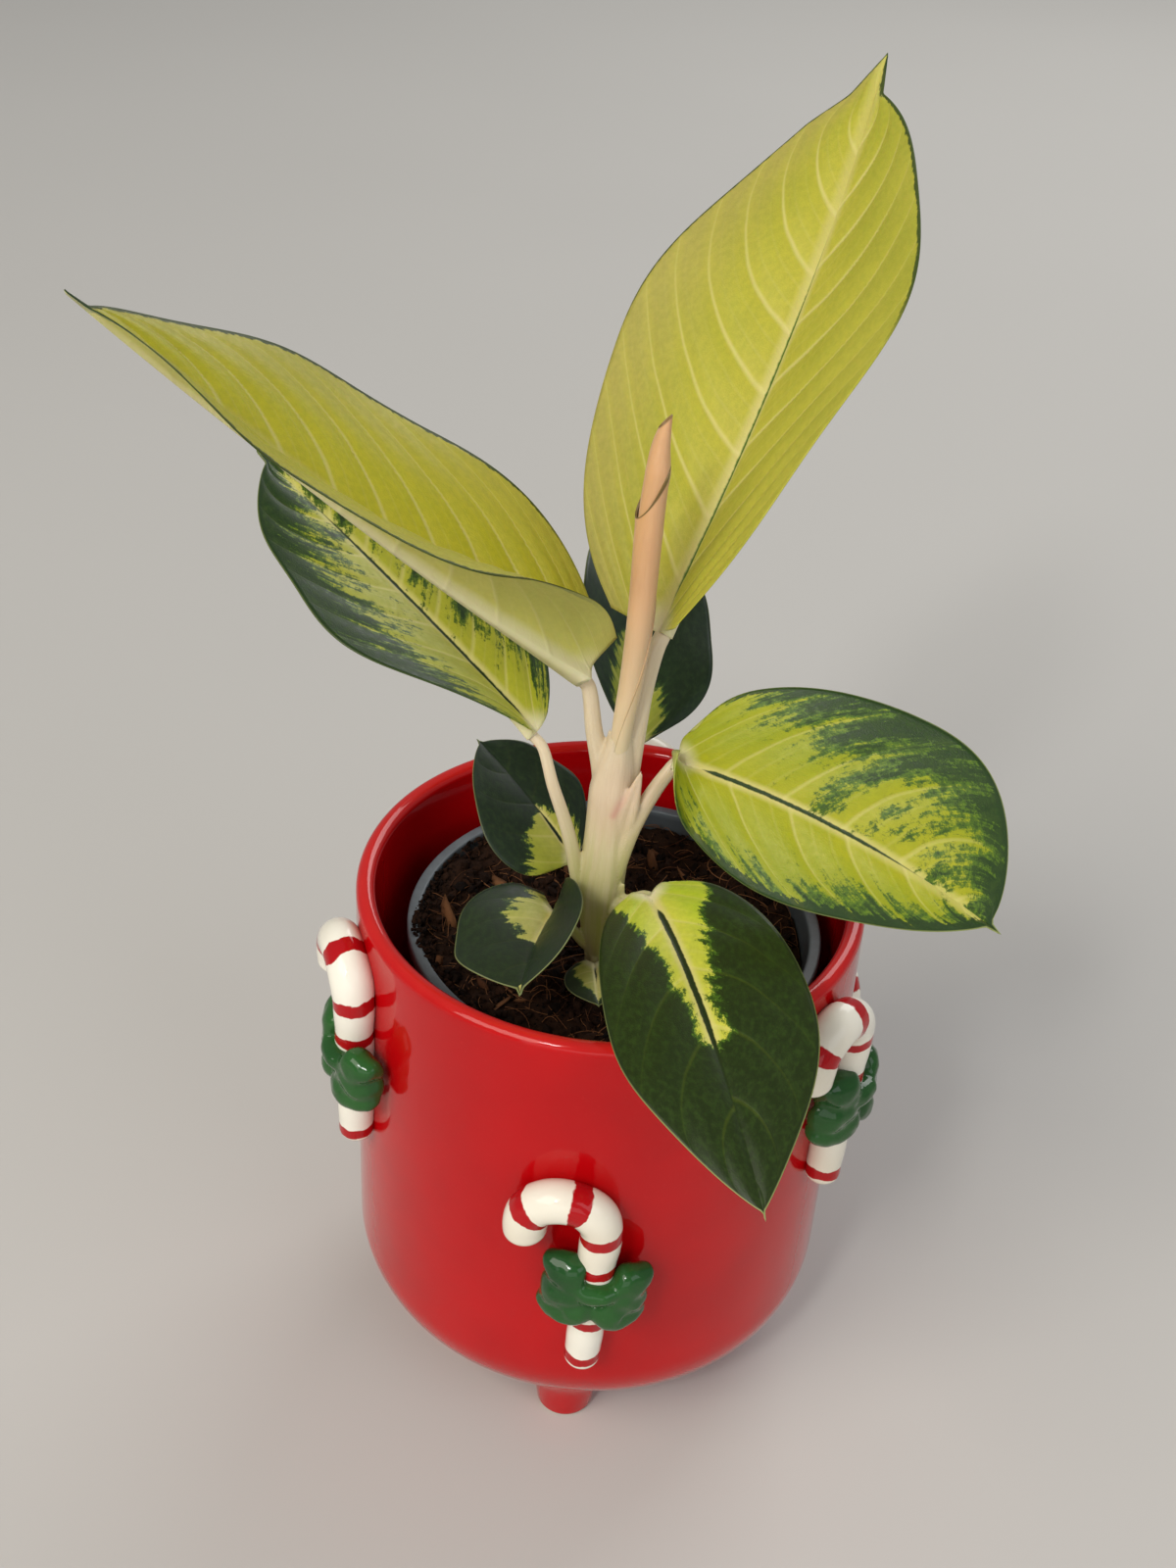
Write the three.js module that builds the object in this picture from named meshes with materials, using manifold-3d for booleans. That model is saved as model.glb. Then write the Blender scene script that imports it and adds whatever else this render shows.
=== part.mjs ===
// A potted aglaonema. A young variegated plant with nine leaves and one rolled new leaf grows in
// a grey nursery pot, which stands in a red glazed planter on three feet. Six candy canes, each
// with a bow, sit round the planter's wall.
// Sizes are in millimetres, +Z is up and +Y points away from the viewer. While the pieces are
// made, the planter's axis is x = y = 0 and its feet stand on z = 0. At the end the whole group
// is moved so that the origin is the middle of the bounding box's underside.

import * as THREE from "three";
import { mergeVertices } from "three/addons/utils/BufferGeometryUtils.js";
import Module from "manifold-3d";

const wasm = await Module();
wasm.setup();

const DEGREE = Math.PI / 180;
const TURN = 2 * Math.PI;

// Clearance between pieces that touch
const GAP = 0.3;

// Planter: a cylinder with a rounded foot corner and a soft rim
const PLANTER_HEIGHT = 163;
const PLANTER_RADIUS = 71.7;
const PLANTER_WALL = 5.4;
const PLANTER_UNDERSIDE = 14;
const PLANTER_FLOOR = 6;
const PLANTER_CORNER = 24;
const PLANTER_SEGMENTS = 44;
const CORNER_STEPS = 6;
const INNER_CORNER_STEPS = 4;

// Feet: three tapered studs
const FOOT_COUNT = 3;
const FOOT_AZIMUTH = -4;
const FOOT_CIRCLE = 50;
const FOOT_TOP_RADIUS = 10.4;
const FOOT_BOTTOM_RADIUS = 8.6;
const FOOT_SEGMENTS = 20;

// Nursery pot: a 12 cm pot with a rolled lip and drain holes
const POT_RADIUS = 60;
const POT_LIP_WIDTH = 2.8;
const POT_LIP_HEIGHT = 4.5;
const POT_LIP_EDGE = 0.8;
const POT_BASE_RADIUS = 43;
const POT_RIM_HEIGHT = 148;
const POT_WALL = 1.4;
const POT_SEGMENTS = 36;
const DRAIN_COUNT = 6;
const DRAIN_RADIUS = 4;
const DRAIN_CIRCLE = 28;
const DRAIN_SEGMENTS = 10;

// Potting soil: low lumps of two sizes, and a surface that sinks a little at the pot's wall
const SOIL_HEIGHT = 141;
const SOIL_BUMP = 0.8;
const SOIL_SMALL_BUMP = 0.5;
const SOIL_LUMPS = { wide: 5.3, deep: 6.1, small: 3.7 };
const SOIL_EDGE_SINK = 1.5;
const SOIL_RINGS = 6;
const SOIL_SPOKES = 30;

// Candy canes: a straight stick that grows thicker towards a half round hook. The seat is how
// far a cane's middle stands off the wall, as a share of its radius.
const CANE_FOOT = { x: 1, z: 47 };
const CANE_HOOK_RADIUS = 11.2;
const CANE_HOOK_CENTRE = { x: -7.4, z: 103 };
const CANE_TIP_DROP = 4;
const CANE_THIN = 4.9;
const CANE_THICK = 6;
const CANE_STICK_SHARE = 0.6;
const CANE_SEAT = 0.88;
const CANE_LIFT = 42;
const CANE_SIDES = 9;
const CANE_STEPS = 16;
const CANE_STICK_STEPS = 4;
const CANE_HOOK_STEPS = 6;
const CANE_ROUND_END = [
  { place: 0, share: 0.35 },
  { place: 0.012, share: 0.78 },
  { place: 0.035, share: 1 },
];
const CANE_PLACES = ["front", "front_right", "back_right", "back", "back_left", "front_left"];

// Bows: a knot with two loops and two tails, worn over the stick of each cane. The covered
// places are those along the cane that the bow's hollow back reaches over.
const BOW_CENTRE = { x: 3, z: 79.5 };
const BOW_COVERS = [0.12, 0.3, 0.56];
const BOW_SIDES = 8;
const BOW_RINGS = 5;
const BOW_PARTS = [
  { name: "knot", at: [0, 0.5], half: [5, 3.6, 5.4], forward: 10, tilt: 0 },
  { name: "left loop", at: [-7.8, 3.4], half: [8.4, 5.2, 7], forward: 7.4, tilt: 20 },
  { name: "right loop", at: [7.8, 3.6], half: [8.4, 5.2, 7], forward: 7.4, tilt: -14 },
  { name: "left tail", at: [-7, -6.6], half: [5.2, 4, 6.6], forward: 5.4, tilt: -40 },
  { name: "right tail", at: [6.8, -6.8], half: [5.2, 4, 6.6], forward: 5.4, tilt: 40 },
];

// Leaf blades. base is where the petiole meets the blade. heading is the compass direction in
// plan, from +X towards +Y. rise is the slope at the base and droop its change to the tip. The
// left half is the one on the left hand of someone who walks from base to tip on the upper side.
// fold gives how far a half is folded up, at the base and at the tip, and bump its change halfway.
// point and the two widest places are shares of the length, and shoulder is the width that the
// base starts with, as a share of the half's width. lobe is how far the base reaches back past
// the petiole, and sweep how far the side veins carry the margin towards the tip.
const BLADE = 0.7;
const BLADE_COLUMNS = [-1, -0.72, -0.4, -0.1, 0, 0.1, 0.4, 0.72, 1];
const FLANK_COLUMN = 0.1;
const FLANK_SHARE = 0.3;
const DRIP_WIDTH = 0.1;
const DRIP_LENGTH = 0.16;
const LOBE_REACH = 0.35;
const SWEEP_GAIN = 3;
const SWEEP_FADE = 1.3;
const SWEEP_CURVE = 1.6;
const MIDRIB_STEPS = 80;
const LEAVES = [
  { name: "leaf_top_right", base: [7, 2, 243], length: 173, heading: 56, turn: 17, rise: 46, droop: -4,
    roll: -15, sweep: 15, lobe: -1, shoulder: 0.26, point: 0.92, waves: 2, wave: 1.2, keel: 3.2, cuts: 16,
    left: { width: 47, widest: 0.36, full: 0.7, fold: [21, 12], bump: 2, curl: -6, ripple: [-0.02, 280] },
    right: { width: 41.5, widest: 0.4, full: 0.74, fold: [29, 13], bump: 6,
      curl: 0, ripple: [-0.04, 270] } },
  { name: "leaf_top_left", base: [-11, -6, 234], length: 168, heading: 201, turn: 11, rise: 40, droop: 7,
    roll: -11, sweep: 14, lobe: 0, shoulder: 0.31, point: 0.96, waves: 2.1, wave: 1, keel: 2.8, cuts: 16,
    left: { width: 37.5, widest: 0.43, full: 0.66, fold: [105, 36], bump: -24,
      curl: -12, ripple: [-0.16, -30] },
    right: { width: 38, widest: 0.34, full: 0.79, fold: [45, 25], bump: 0, curl: -10, ripple: [0.04, 0] } },
  { name: "leaf_middle_left", base: [-22.5, -8, 216], length: 110, heading: 151,
    turn: -9, rise: 34, droop: -14,
    roll: 3, sweep: 12, lobe: -2, shoulder: 0.21, point: 0.95, waves: 2.1, wave: 0.8, keel: 2.2, cuts: 13,
    left: { width: 31, widest: 0.39, full: 0.74, fold: [37, 4], bump: -6, curl: -7, ripple: [-0.05, 0] },
    right: { width: 30.5, widest: 0.39, full: 0.72, fold: [21, 10], bump: 0, curl: -9, ripple: [0, 0] } },
  { name: "leaf_middle_right", base: [15, -8, 209.5], length: 96, heading: -27,
    turn: 3, rise: 2, droop: -28,
    roll: 50, sweep: 15, lobe: 0, shoulder: 0.25, point: 0.95, waves: 1.4, wave: 1, keel: 2.2, cuts: 13,
    left: { width: 36, widest: 0.44, full: 0.58, fold: [17, 5], bump: 1, curl: -6, ripple: [0.04, 90] },
    right: { width: 23.5, widest: 0.33, full: 0.78, fold: [9, 5], bump: 0,
      curl: -12, ripple: [0.04, -20] } },
  { name: "leaf_front", base: [10, -19, 173], length: 112, heading: -76, turn: 3, rise: 16, droop: -44,
    roll: 8, sweep: 14, lobe: 6, shoulder: 0.22, point: 0.95, waves: 2.1, wave: 0.8, keel: 2.2, cuts: 13,
    left: { width: 27.5, widest: 0.39, full: 0.9, fold: [23, 5], bump: -2, curl: -8, ripple: [0.02, -20] },
    right: { width: 24.5, widest: 0.41, full: 0.84, fold: [13, 6], bump: 0,
      curl: -13, ripple: [0.02, 20] } },
  { name: "leaf_back", base: [3.5, 10, 200.5], length: 84, heading: 94, turn: 0, rise: 34, droop: -20,
    roll: 6, sweep: 11, lobe: -5, shoulder: 0.26, point: 0.95, waves: 2.2, wave: 0.7, keel: 2, cuts: 11,
    left: { width: 19, widest: 0.39, full: 0.73, fold: [45, 36], bump: 0, curl: -9, ripple: [0, 0] },
    right: { width: 23.5, widest: 0.34, full: 0.67, fold: [14, 11], bump: 0,
      curl: -13, ripple: [0.03, 0] } },
  { name: "leaf_small_left", base: [-11, 3, 166.5], length: 44, heading: 146,
    turn: -1, rise: 45, droop: -20,
    roll: -3, sweep: 5, lobe: 1, shoulder: 0.21, point: 0.96, waves: 1.9, wave: 0.4, keel: 1.4, cuts: 8,
    left: { width: 22.5, widest: 0.3, full: 0.71, fold: [6, 14], bump: 0, curl: -12, ripple: [0, 0] },
    right: { width: 16, widest: 0.4, full: 0.69, fold: [9, 13], bump: 0, curl: -10, ripple: [0.06, 240] } },
  { name: "leaf_small_front", base: [-15, -17, 163], length: 40, heading: 254,
    turn: 11, rise: 21, droop: -30,
    roll: 6, sweep: 12, lobe: 6, shoulder: 0.29, point: 0.95, waves: 2, wave: 0.4, keel: 1.4, cuts: 8,
    left: { width: 21, widest: 0.41, full: 0.76, fold: [77, 43], bump: -2, curl: 1, ripple: [0.01, 20] },
    right: { width: 22, widest: 0.35, full: 0.67, fold: [34, 3], bump: 0,
      curl: -5, ripple: [-0.05, 160] } },
  { name: "leaf_lowest", base: [-3.4, -19, 147.6], length: 25, heading: -84, turn: 0, rise: 8, droop: -16,
    roll: 0, sweep: 3, lobe: 1, shoulder: 0.25, point: 0.95, waves: 1.5, wave: 0.2, keel: 1, cuts: 7,
    left: { width: 9, widest: 0.4, full: 0.72, fold: [14, 8], bump: 0, curl: -10, ripple: [0, 0] },
    right: { width: 9, widest: 0.4, full: 0.72, fold: [14, 8], bump: 0, curl: -10, ripple: [0, 0] } },
];

// Petioles: the points that each passes on its way from the stem to its blade, and its radii
// at the stem and at the blade. The seat is how deep under the blade it ends, as a share of its
// radius there.
const PETIOLES = {
  leaf_top_right: { route: [[0.5, -9.5, 190], [2, -8.5, 203], [3.4, -5.8, 217], [5, -2, 229]],
    radii: [3.4, 2.2] },
  leaf_top_left: { route: [[-1.6, -9, 192], [-2.4, -8.2, 205], [-4.4, -7.4, 216]], radii: [3.2, 2.1] },
  leaf_middle_left: { route: [[-3, -11, 160], [-6.2, -12, 171], [-8.8, -12.8, 184], [-12.6, -12, 197]],
    radii: [2.6, 1.6] },
  leaf_middle_right: { route: [[-1.6, -12, 158], [1, -14, 178], [3, -14.6, 190], [6.4, -13, 199]],
    radii: [3, 1.7] },
  leaf_front: { route: [[-2.6, -12, 150], [-0.8, -14, 158], [2.6, -17, 166.5]], radii: [2.8, 1.6] },
  leaf_back: { route: [[0, -7, 184], [2, -2, 193.5], [3, 4, 198]], radii: [2.6, 1.6] },
  leaf_small_left: { route: [[-3.4, -9, 154], [-5.6, -5, 161], [-8.4, -0.8, 164]], radii: [2, 1.2] },
  leaf_small_front: { route: [[-2.8, -12.2, 146.5], [-6, -14, 150], [-10, -15.6, 156]], radii: [1.8, 1.3] },
  leaf_lowest: { route: [[-3, -12.4, 147], [-3.3, -15.6, 146.4]], radii: [1.5, 0.9] },
};
const PETIOLE_APPROACH = { most: 6, share: 0.08 };
const PETIOLE_SEAT = 0.8;
const PETIOLE_STEPS_PER_STOP = 2;
const PETIOLE_SIDES = 8;

// Stem: the sheaths of the petioles wrapped round each other, thickest above the soil. The
// first three stops are the stretch that meets the soil.
const STEM_SIDES = 12;
const STEM_STEPS = 12;
const STEM_SOIL_STOPS = 3;
const STEM_SOIL_STEPS = 4;
const STEM_ROUTE = [
  { at: [-2.8, -12.3, 116], radius: 3.4 },
  { at: [-2.8, -12.3, 145], radius: 3.6 },
  { at: [-3, -12, 154], radius: 5 },
  { at: [-3.2, -11.4, 168], radius: 6.6 },
  { at: [-1.6, -10.6, 186], radius: 6.2 },
  { at: [-1.2, -9.8, 203], radius: 5.4 },
  { at: [-0.8, -9.6, 216], radius: 4.6 },
];

// Sheath tips: the free, pointed and flattened ends of the sheaths
const SHEATH_MIDDLE = 0.8;
const SHEATH_POINT = 0.5;
const SHEATH_FLATTEN = 0.4;
const SHEATH_STEPS = 3;
const SHEATH_TIPS = [
  { from: [2.6, -12.6, 192], to: [5.2, -13.4, 207], width: 3.2 },
  { from: [0.4, -13.8, 163], to: [2.2, -15, 174], width: 2.8 },
  { from: [-5.4, -10.6, 180], to: [-8.2, -11, 190], width: 3.4 },
  { from: [-4.6, -7, 200], to: [-8, -6.4, 211], width: 3 },
];

// The rolled new leaf that stands in the crown. Its free edge is a low step that winds round it.
const SPEAR_SIDES = 12;
const SPEAR_STEPS = 14;
const SPEAR_ROUTE = [
  { at: [-0.8, -10.2, 211], radius: 2.4 },
  { at: [-0.4, -10, 220], radius: 2.6 },
  { at: [1.2, -8, 235], radius: 3 },
  { at: [2.4, -6, 254], radius: 3.3 },
  { at: [2.8, -4, 275], radius: 3.4 },
  { at: [3.2, -2, 290], radius: 3 },
  { at: [4.4, 0, 299], radius: 1.9 },
  { at: [6, 0.6, 303], radius: 0.5 },
];
const SPEAR_STEP = 0.16;
const SPEAR_TWIST = 250;

// Corners closer than this are one corner, and angles and lengths under the second are none
const WELD = 1e-4;
const TINY = 1e-6;
const LENGTH_SAMPLES = 200;

// The leaves that are mostly yellow-green. The others are mostly dark green.
const YELLOW_LEAVES = ["leaf_top_right", "leaf_top_left", "leaf_middle_left", "leaf_middle_right"];

// Colours and finishes from the photograph
const FINISHES = {
  red_glaze: { color: 0xb3141a, roughness: 0.12 },
  white_glaze: { color: 0xf2ead8, roughness: 0.15 },
  green_glaze: { color: 0x1f5a30, roughness: 0.15 },
  grey_plastic: { color: 0x5c6468, roughness: 0.5 },
  soil: { color: 0x2e211b, roughness: 1 },
  petiole: { color: 0xe9e2cc, roughness: 0.45 },
  new_leaf: { color: 0xdcb183, roughness: 0.5 },
  yellow_blade: { color: 0xa9b13f, roughness: 0.4 },
  green_blade: { color: 0x2c4a26, roughness: 0.4 },
};

function clamp01(value) {
  return Math.min(1, Math.max(0, value));
}

function mix(from, to, share) {
  return from + (to - from) * share;
}

function vector(triple) {
  return new THREE.Vector3(...triple);
}

// Six times the enclosed volume, positive where the faces point out
function signedVolume(position, index) {
  const corner = [new THREE.Vector3(), new THREE.Vector3(), new THREE.Vector3()];
  let total = 0;
  for (let i = 0; i < index.length; i += 3) {
    corner.forEach((point, k) => point.fromBufferAttribute(position, index[i + k]));
    total += corner[0].dot(corner[1].cross(corner[2]));
  }
  return total;
}

// Merges shared corners, drops faces without area and turns the faces out
function weld(geometry) {
  const bare = new THREE.BufferGeometry();
  bare.setAttribute("position", geometry.getAttribute("position"));
  if (geometry.index) {
    bare.setIndex(geometry.index);
  }
  const merged = mergeVertices(bare, WELD);
  const old = merged.index.array;
  const index = [];
  for (let i = 0; i < old.length; i += 3) {
    const [a, b, c] = [old[i], old[i + 1], old[i + 2]];
    if (a !== b && b !== c && c !== a) {
      index.push(a, b, c);
    }
  }
  if (signedVolume(merged.getAttribute("position"), index) < 0) {
    index.reverse();
  }
  merged.setIndex(index);
  return merged;
}

function toSolid(geometry) {
  const closed = weld(geometry);
  const vertProperties = new Float32Array(closed.getAttribute("position").array);
  const triVerts = new Uint32Array(closed.index.array);
  return new wasm.Manifold(new wasm.Mesh({ numProp: 3, vertProperties, triVerts }));
}

function toGeometry(solid) {
  const mesh = solid.getMesh();
  const geometry = new THREE.BufferGeometry();
  geometry.setAttribute("position", new THREE.BufferAttribute(mesh.vertProperties, 3));
  geometry.setIndex(new THREE.BufferAttribute(mesh.triVerts, 1));
  return geometry;
}

function join(geometries) {
  return geometries.map(toSolid).reduce((whole, next) => whole.add(next));
}

function fromTriangles(points, index) {
  const geometry = new THREE.BufferGeometry();
  geometry.setAttribute("position", new THREE.Float32BufferAttribute(points.flatMap((p) => p.toArray()), 3));
  geometry.setIndex(index);
  return geometry;
}

// Points of an arc in a profile, with angles in degrees from the +x direction
function arc(x, y, radius, from, to, steps) {
  const points = [];
  for (let i = 0; i <= steps; i += 1) {
    const angle = mix(from, to, i / steps) * DEGREE;
    points.push(new THREE.Vector2(x + radius * Math.cos(angle), y + radius * Math.sin(angle)));
  }
  return points;
}

// A profile of radius and height, turned round the z axis
function turned(profile, segments) {
  return new THREE.LatheGeometry(profile, segments).rotateX(Math.PI / 2);
}

// A closed tube with flat ends. rows gives the rings along the curve, each with its place from
// 0 to 1 and its radius. ring(radius, angle, place) gives the radius round the section, and
// settle moves a point of the skin where that is needed.
function tube(curve, rows, sides, ring = (radius) => radius, settle = (point) => point) {
  const chord = curve.getPointAt(1).sub(curve.getPointAt(0)).normalize();
  const axes = [new THREE.Vector3(1, 0, 0), new THREE.Vector3(0, 1, 0), new THREE.Vector3(0, 0, 1)];
  axes.sort((one, other) => Math.abs(one.dot(chord)) - Math.abs(other.dot(chord)));
  const across = axes[0];
  const points = [];
  const index = [];
  for (const row of rows) {
    const centre = curve.getPointAt(row.place);
    const tangent = curve.getTangentAt(row.place);
    const side = new THREE.Vector3().crossVectors(tangent, across).normalize();
    const front = new THREE.Vector3().crossVectors(side, tangent);
    for (let k = 0; k < sides; k += 1) {
      const angle = (k / sides) * TURN;
      const reach = ring(row.radius, angle, row.place);
      const point = centre.clone().addScaledVector(side, reach * Math.cos(angle));
      points.push(settle(point.addScaledVector(front, reach * Math.sin(angle))));
    }
  }
  for (let i = 0; i + 1 < rows.length; i += 1) {
    for (let k = 0; k < sides; k += 1) {
      const a = i * sides + k;
      const b = i * sides + ((k + 1) % sides);
      index.push(a, b, b + sides, a, b + sides, a + sides);
    }
  }
  for (const first of [0, (rows.length - 1) * sides]) {
    const middle = new THREE.Vector3();
    for (let k = 0; k < sides; k += 1) {
      middle.addScaledVector(points[first + k], 1 / sides);
      const next = (k + 1) % sides;
      const [a, b] = first === 0 ? [next, k] : [first + k, first + next];
      index.push(points.length, a, b);
    }
    points.push(middle);
  }
  return fromTriangles(points, index);
}

// A tube through points that each have a radius of their own
function taperedTube(route, steps, sides, grow = 0, ring = (radius) => radius) {
  const curve = new THREE.CatmullRomCurve3(route.map((stop) => vector(stop.at)), false, "centripetal");
  const lengths = curve.getLengths(LENGTH_SAMPLES);
  const total = lengths[LENGTH_SAMPLES];
  const sample = (i) => Math.round((i / (route.length - 1)) * LENGTH_SAMPLES);
  const stops = route.map((stop, i) => lengths[sample(i)] / total);
  const rows = [];
  for (let i = 0; i <= steps; i += 1) {
    const place = i / steps;
    const after = Math.max(1, stops.findIndex((stop) => stop >= place - TINY));
    const share = (place - stops[after - 1]) / (stops[after] - stops[after - 1]);
    const radius = mix(route[after - 1].radius, route[after].radius, clamp01(share)) + grow;
    rows.push({ place, radius });
  }
  return tube(curve, rows, sides, ring);
}

// Planter

function planter() {
  const inner = PLANTER_RADIUS - PLANTER_WALL;
  const inside = PLANTER_UNDERSIDE + PLANTER_FLOOR;
  const innerCorner = PLANTER_CORNER - PLANTER_FLOOR;
  const flat = PLANTER_RADIUS - PLANTER_CORNER;
  const rim = PLANTER_WALL / 2;
  const profile = [
    new THREE.Vector2(0, PLANTER_UNDERSIDE),
    ...arc(flat, PLANTER_UNDERSIDE + PLANTER_CORNER, PLANTER_CORNER, -90, 0, CORNER_STEPS),
    ...arc(PLANTER_RADIUS - rim, PLANTER_HEIGHT - rim, rim, 0, 180, CORNER_STEPS),
    ...arc(inner - innerCorner, inside + innerCorner, innerCorner, 0, -90, INNER_CORNER_STEPS),
    new THREE.Vector2(0, inside),
  ];
  const feet = [];
  const footHeight = PLANTER_UNDERSIDE + PLANTER_FLOOR / 2;
  for (let i = 0; i < FOOT_COUNT; i += 1) {
    const azimuth = FOOT_AZIMUTH * DEGREE + (i / FOOT_COUNT) * TURN;
    const foot = new THREE.CylinderGeometry(FOOT_TOP_RADIUS, FOOT_BOTTOM_RADIUS, footHeight, FOOT_SEGMENTS);
    foot.rotateX(Math.PI / 2);
    foot.translate(FOOT_CIRCLE * Math.sin(azimuth), -FOOT_CIRCLE * Math.cos(azimuth), footHeight / 2);
    feet.push(foot);
  }
  return toGeometry(join([turned(profile, PLANTER_SEGMENTS), ...feet]));
}

// Nursery pot and soil

const POT_FLOOR_HEIGHT = PLANTER_UNDERSIDE + PLANTER_FLOOR + GAP;
const POT_TOP_RADIUS = POT_RADIUS - POT_LIP_WIDTH;

// Outer radius of the pot's wall at a height
function potRadius(height) {
  const share = (height - POT_FLOOR_HEIGHT) / (POT_RIM_HEIGHT - POT_FLOOR_HEIGHT);
  return mix(POT_BASE_RADIUS, POT_TOP_RADIUS, share);
}

function nurseryPot() {
  const lipFoot = POT_RIM_HEIGHT - POT_LIP_HEIGHT;
  const inside = POT_FLOOR_HEIGHT + POT_WALL;
  const profile = [
    [0, POT_FLOOR_HEIGHT],
    [POT_BASE_RADIUS, POT_FLOOR_HEIGHT],
    [potRadius(lipFoot), lipFoot],
    [POT_RADIUS - POT_LIP_EDGE, lipFoot],
    [POT_RADIUS, lipFoot + POT_LIP_EDGE],
    [POT_RADIUS, POT_RIM_HEIGHT - POT_LIP_EDGE],
    [POT_RADIUS - POT_LIP_EDGE, POT_RIM_HEIGHT],
    [POT_TOP_RADIUS - POT_WALL + POT_LIP_EDGE, POT_RIM_HEIGHT],
    [POT_TOP_RADIUS - POT_WALL, POT_RIM_HEIGHT - POT_LIP_EDGE],
    [potRadius(inside) - POT_WALL, inside],
    [0, inside],
  ].map(([radius, height]) => new THREE.Vector2(radius, height));
  let solid = toSolid(turned(profile, POT_SEGMENTS));
  for (let i = 0; i < DRAIN_COUNT; i += 1) {
    const angle = (i / DRAIN_COUNT) * TURN;
    const drill = new THREE.CylinderGeometry(DRAIN_RADIUS, DRAIN_RADIUS, 4 * POT_WALL, DRAIN_SEGMENTS);
    drill.rotateX(Math.PI / 2);
    drill.translate(DRAIN_CIRCLE * Math.cos(angle), DRAIN_CIRCLE * Math.sin(angle), POT_FLOOR_HEIGHT);
    solid = solid.subtract(toSolid(drill));
  }
  return toGeometry(solid);
}

// Height of the soil's surface, a little lower at the pot's wall
function soilSurface(radius, angle, edge) {
  const x = radius * Math.cos(angle);
  const y = radius * Math.sin(angle);
  const lumps = SOIL_BUMP * Math.sin(x / SOIL_LUMPS.wide + 1) * Math.cos(y / SOIL_LUMPS.deep);
  const small = SOIL_SMALL_BUMP * Math.sin((x + y) / SOIL_LUMPS.small + 2);
  return SOIL_HEIGHT + lumps + small - SOIL_EDGE_SINK * (radius / edge) ** 4;
}

// The stretch of stem that stands in the soil, grown by a clearance
function soilHole() {
  return toSolid(taperedTube(STEM_ROUTE.slice(0, STEM_SOIL_STOPS), STEM_SOIL_STEPS, STEM_SIDES, GAP));
}

function soil() {
  const bottom = POT_FLOOR_HEIGHT + POT_WALL + GAP;
  const edge = potRadius(SOIL_HEIGHT - SOIL_EDGE_SINK) - POT_WALL - 2 * GAP;
  const lowEdge = potRadius(bottom) - POT_WALL - 2 * GAP;
  const points = [new THREE.Vector3(0, 0, soilSurface(0, 0, edge))];
  const index = [];
  const ringStart = (ring) => 1 + (ring - 1) * SOIL_SPOKES;
  for (let ring = 1; ring <= SOIL_RINGS + 1; ring += 1) {
    for (let k = 0; k < SOIL_SPOKES; k += 1) {
      const angle = (k / SOIL_SPOKES) * TURN;
      const under = ring > SOIL_RINGS;
      const radius = under ? lowEdge : edge * (ring / SOIL_RINGS);
      const height = under ? bottom : soilSurface(radius, angle, edge);
      points.push(new THREE.Vector3(radius * Math.cos(angle), radius * Math.sin(angle), height));
    }
  }
  points.push(new THREE.Vector3(0, 0, bottom));
  for (let k = 0; k < SOIL_SPOKES; k += 1) {
    const next = (k + 1) % SOIL_SPOKES;
    index.push(0, ringStart(1) + k, ringStart(1) + next);
    for (let ring = 1; ring <= SOIL_RINGS; ring += 1) {
      const [a, b] = [ringStart(ring) + k, ringStart(ring) + next];
      const [c, d] = [ringStart(ring + 1) + next, ringStart(ring + 1) + k];
      index.push(a, d, c, a, c, b);
    }
    index.push(points.length - 1, ringStart(SOIL_RINGS + 1) + next, ringStart(SOIL_RINGS + 1) + k);
  }
  return toGeometry(toSolid(fromTriangles(points, index)).subtract(soilHole()));
}

// Leaf blades

// Half width of a blade at a place from base to tip, as a share of the widest
function blade(leaf, half, place) {
  const power = Math.log(0.5) / Math.log(half.widest / leaf.point);
  const belly = Math.max(0, Math.sin(Math.PI * clamp01(place / leaf.point) ** power)) ** half.full;
  const shoulder = leaf.shoulder * Math.sqrt(clamp01(1 - place / half.widest));
  const drip = DRIP_WIDTH * clamp01((1 - place) / DRIP_LENGTH);
  const ripple = 1 + half.ripple[0] * Math.sin(TURN * leaf.waves * place + half.ripple[1] * DEGREE);
  return ((belly ** 2 + shoulder ** 2) ** 2 + drip ** 4) ** 0.25 * ripple;
}

// Places and directions along a blade's midrib: forward, to the left side and out of the face
function midrib(leaf) {
  const steps = MIDRIB_STEPS;
  const stations = [];
  const point = vector(leaf.base);
  for (let i = 0; i <= steps; i += 1) {
    const heading = (leaf.heading + (leaf.turn * i) / steps) * DEGREE;
    const rise = (leaf.rise + (leaf.droop * i) / steps) * DEGREE;
    const flat = Math.cos(rise);
    const forward = new THREE.Vector3(flat * Math.cos(heading), flat * Math.sin(heading), Math.sin(rise));
    const side = new THREE.Vector3(-Math.sin(heading), Math.cos(heading), 0);
    const out = new THREE.Vector3().crossVectors(forward, side);
    side.applyAxisAngle(forward, leaf.roll * DEGREE);
    out.applyAxisAngle(forward, leaf.roll * DEGREE);
    if (i > 0) {
      const step = stations[i - 1].forward.clone().add(forward);
      point.addScaledVector(step, leaf.length / steps / 2);
    }
    stations.push({ point: point.clone(), forward, side, out });
  }
  return (distance) => {
    const along = clamp01(distance / leaf.length) * steps;
    const near = stations[Math.min(steps - 1, Math.floor(along))];
    const far = stations[Math.min(steps, Math.floor(along) + 1)];
    const share = along - Math.min(steps - 1, Math.floor(along));
    const spot = near.point.clone().lerp(far.point, share);
    const past = distance < 0 ? distance : Math.max(0, distance - leaf.length);
    return {
      point: spot.addScaledVector(near.forward, past),
      forward: near.forward,
      side: near.side.clone().lerp(far.side, share),
      out: near.out.clone().lerp(far.out, share),
    };
  };
}

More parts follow.
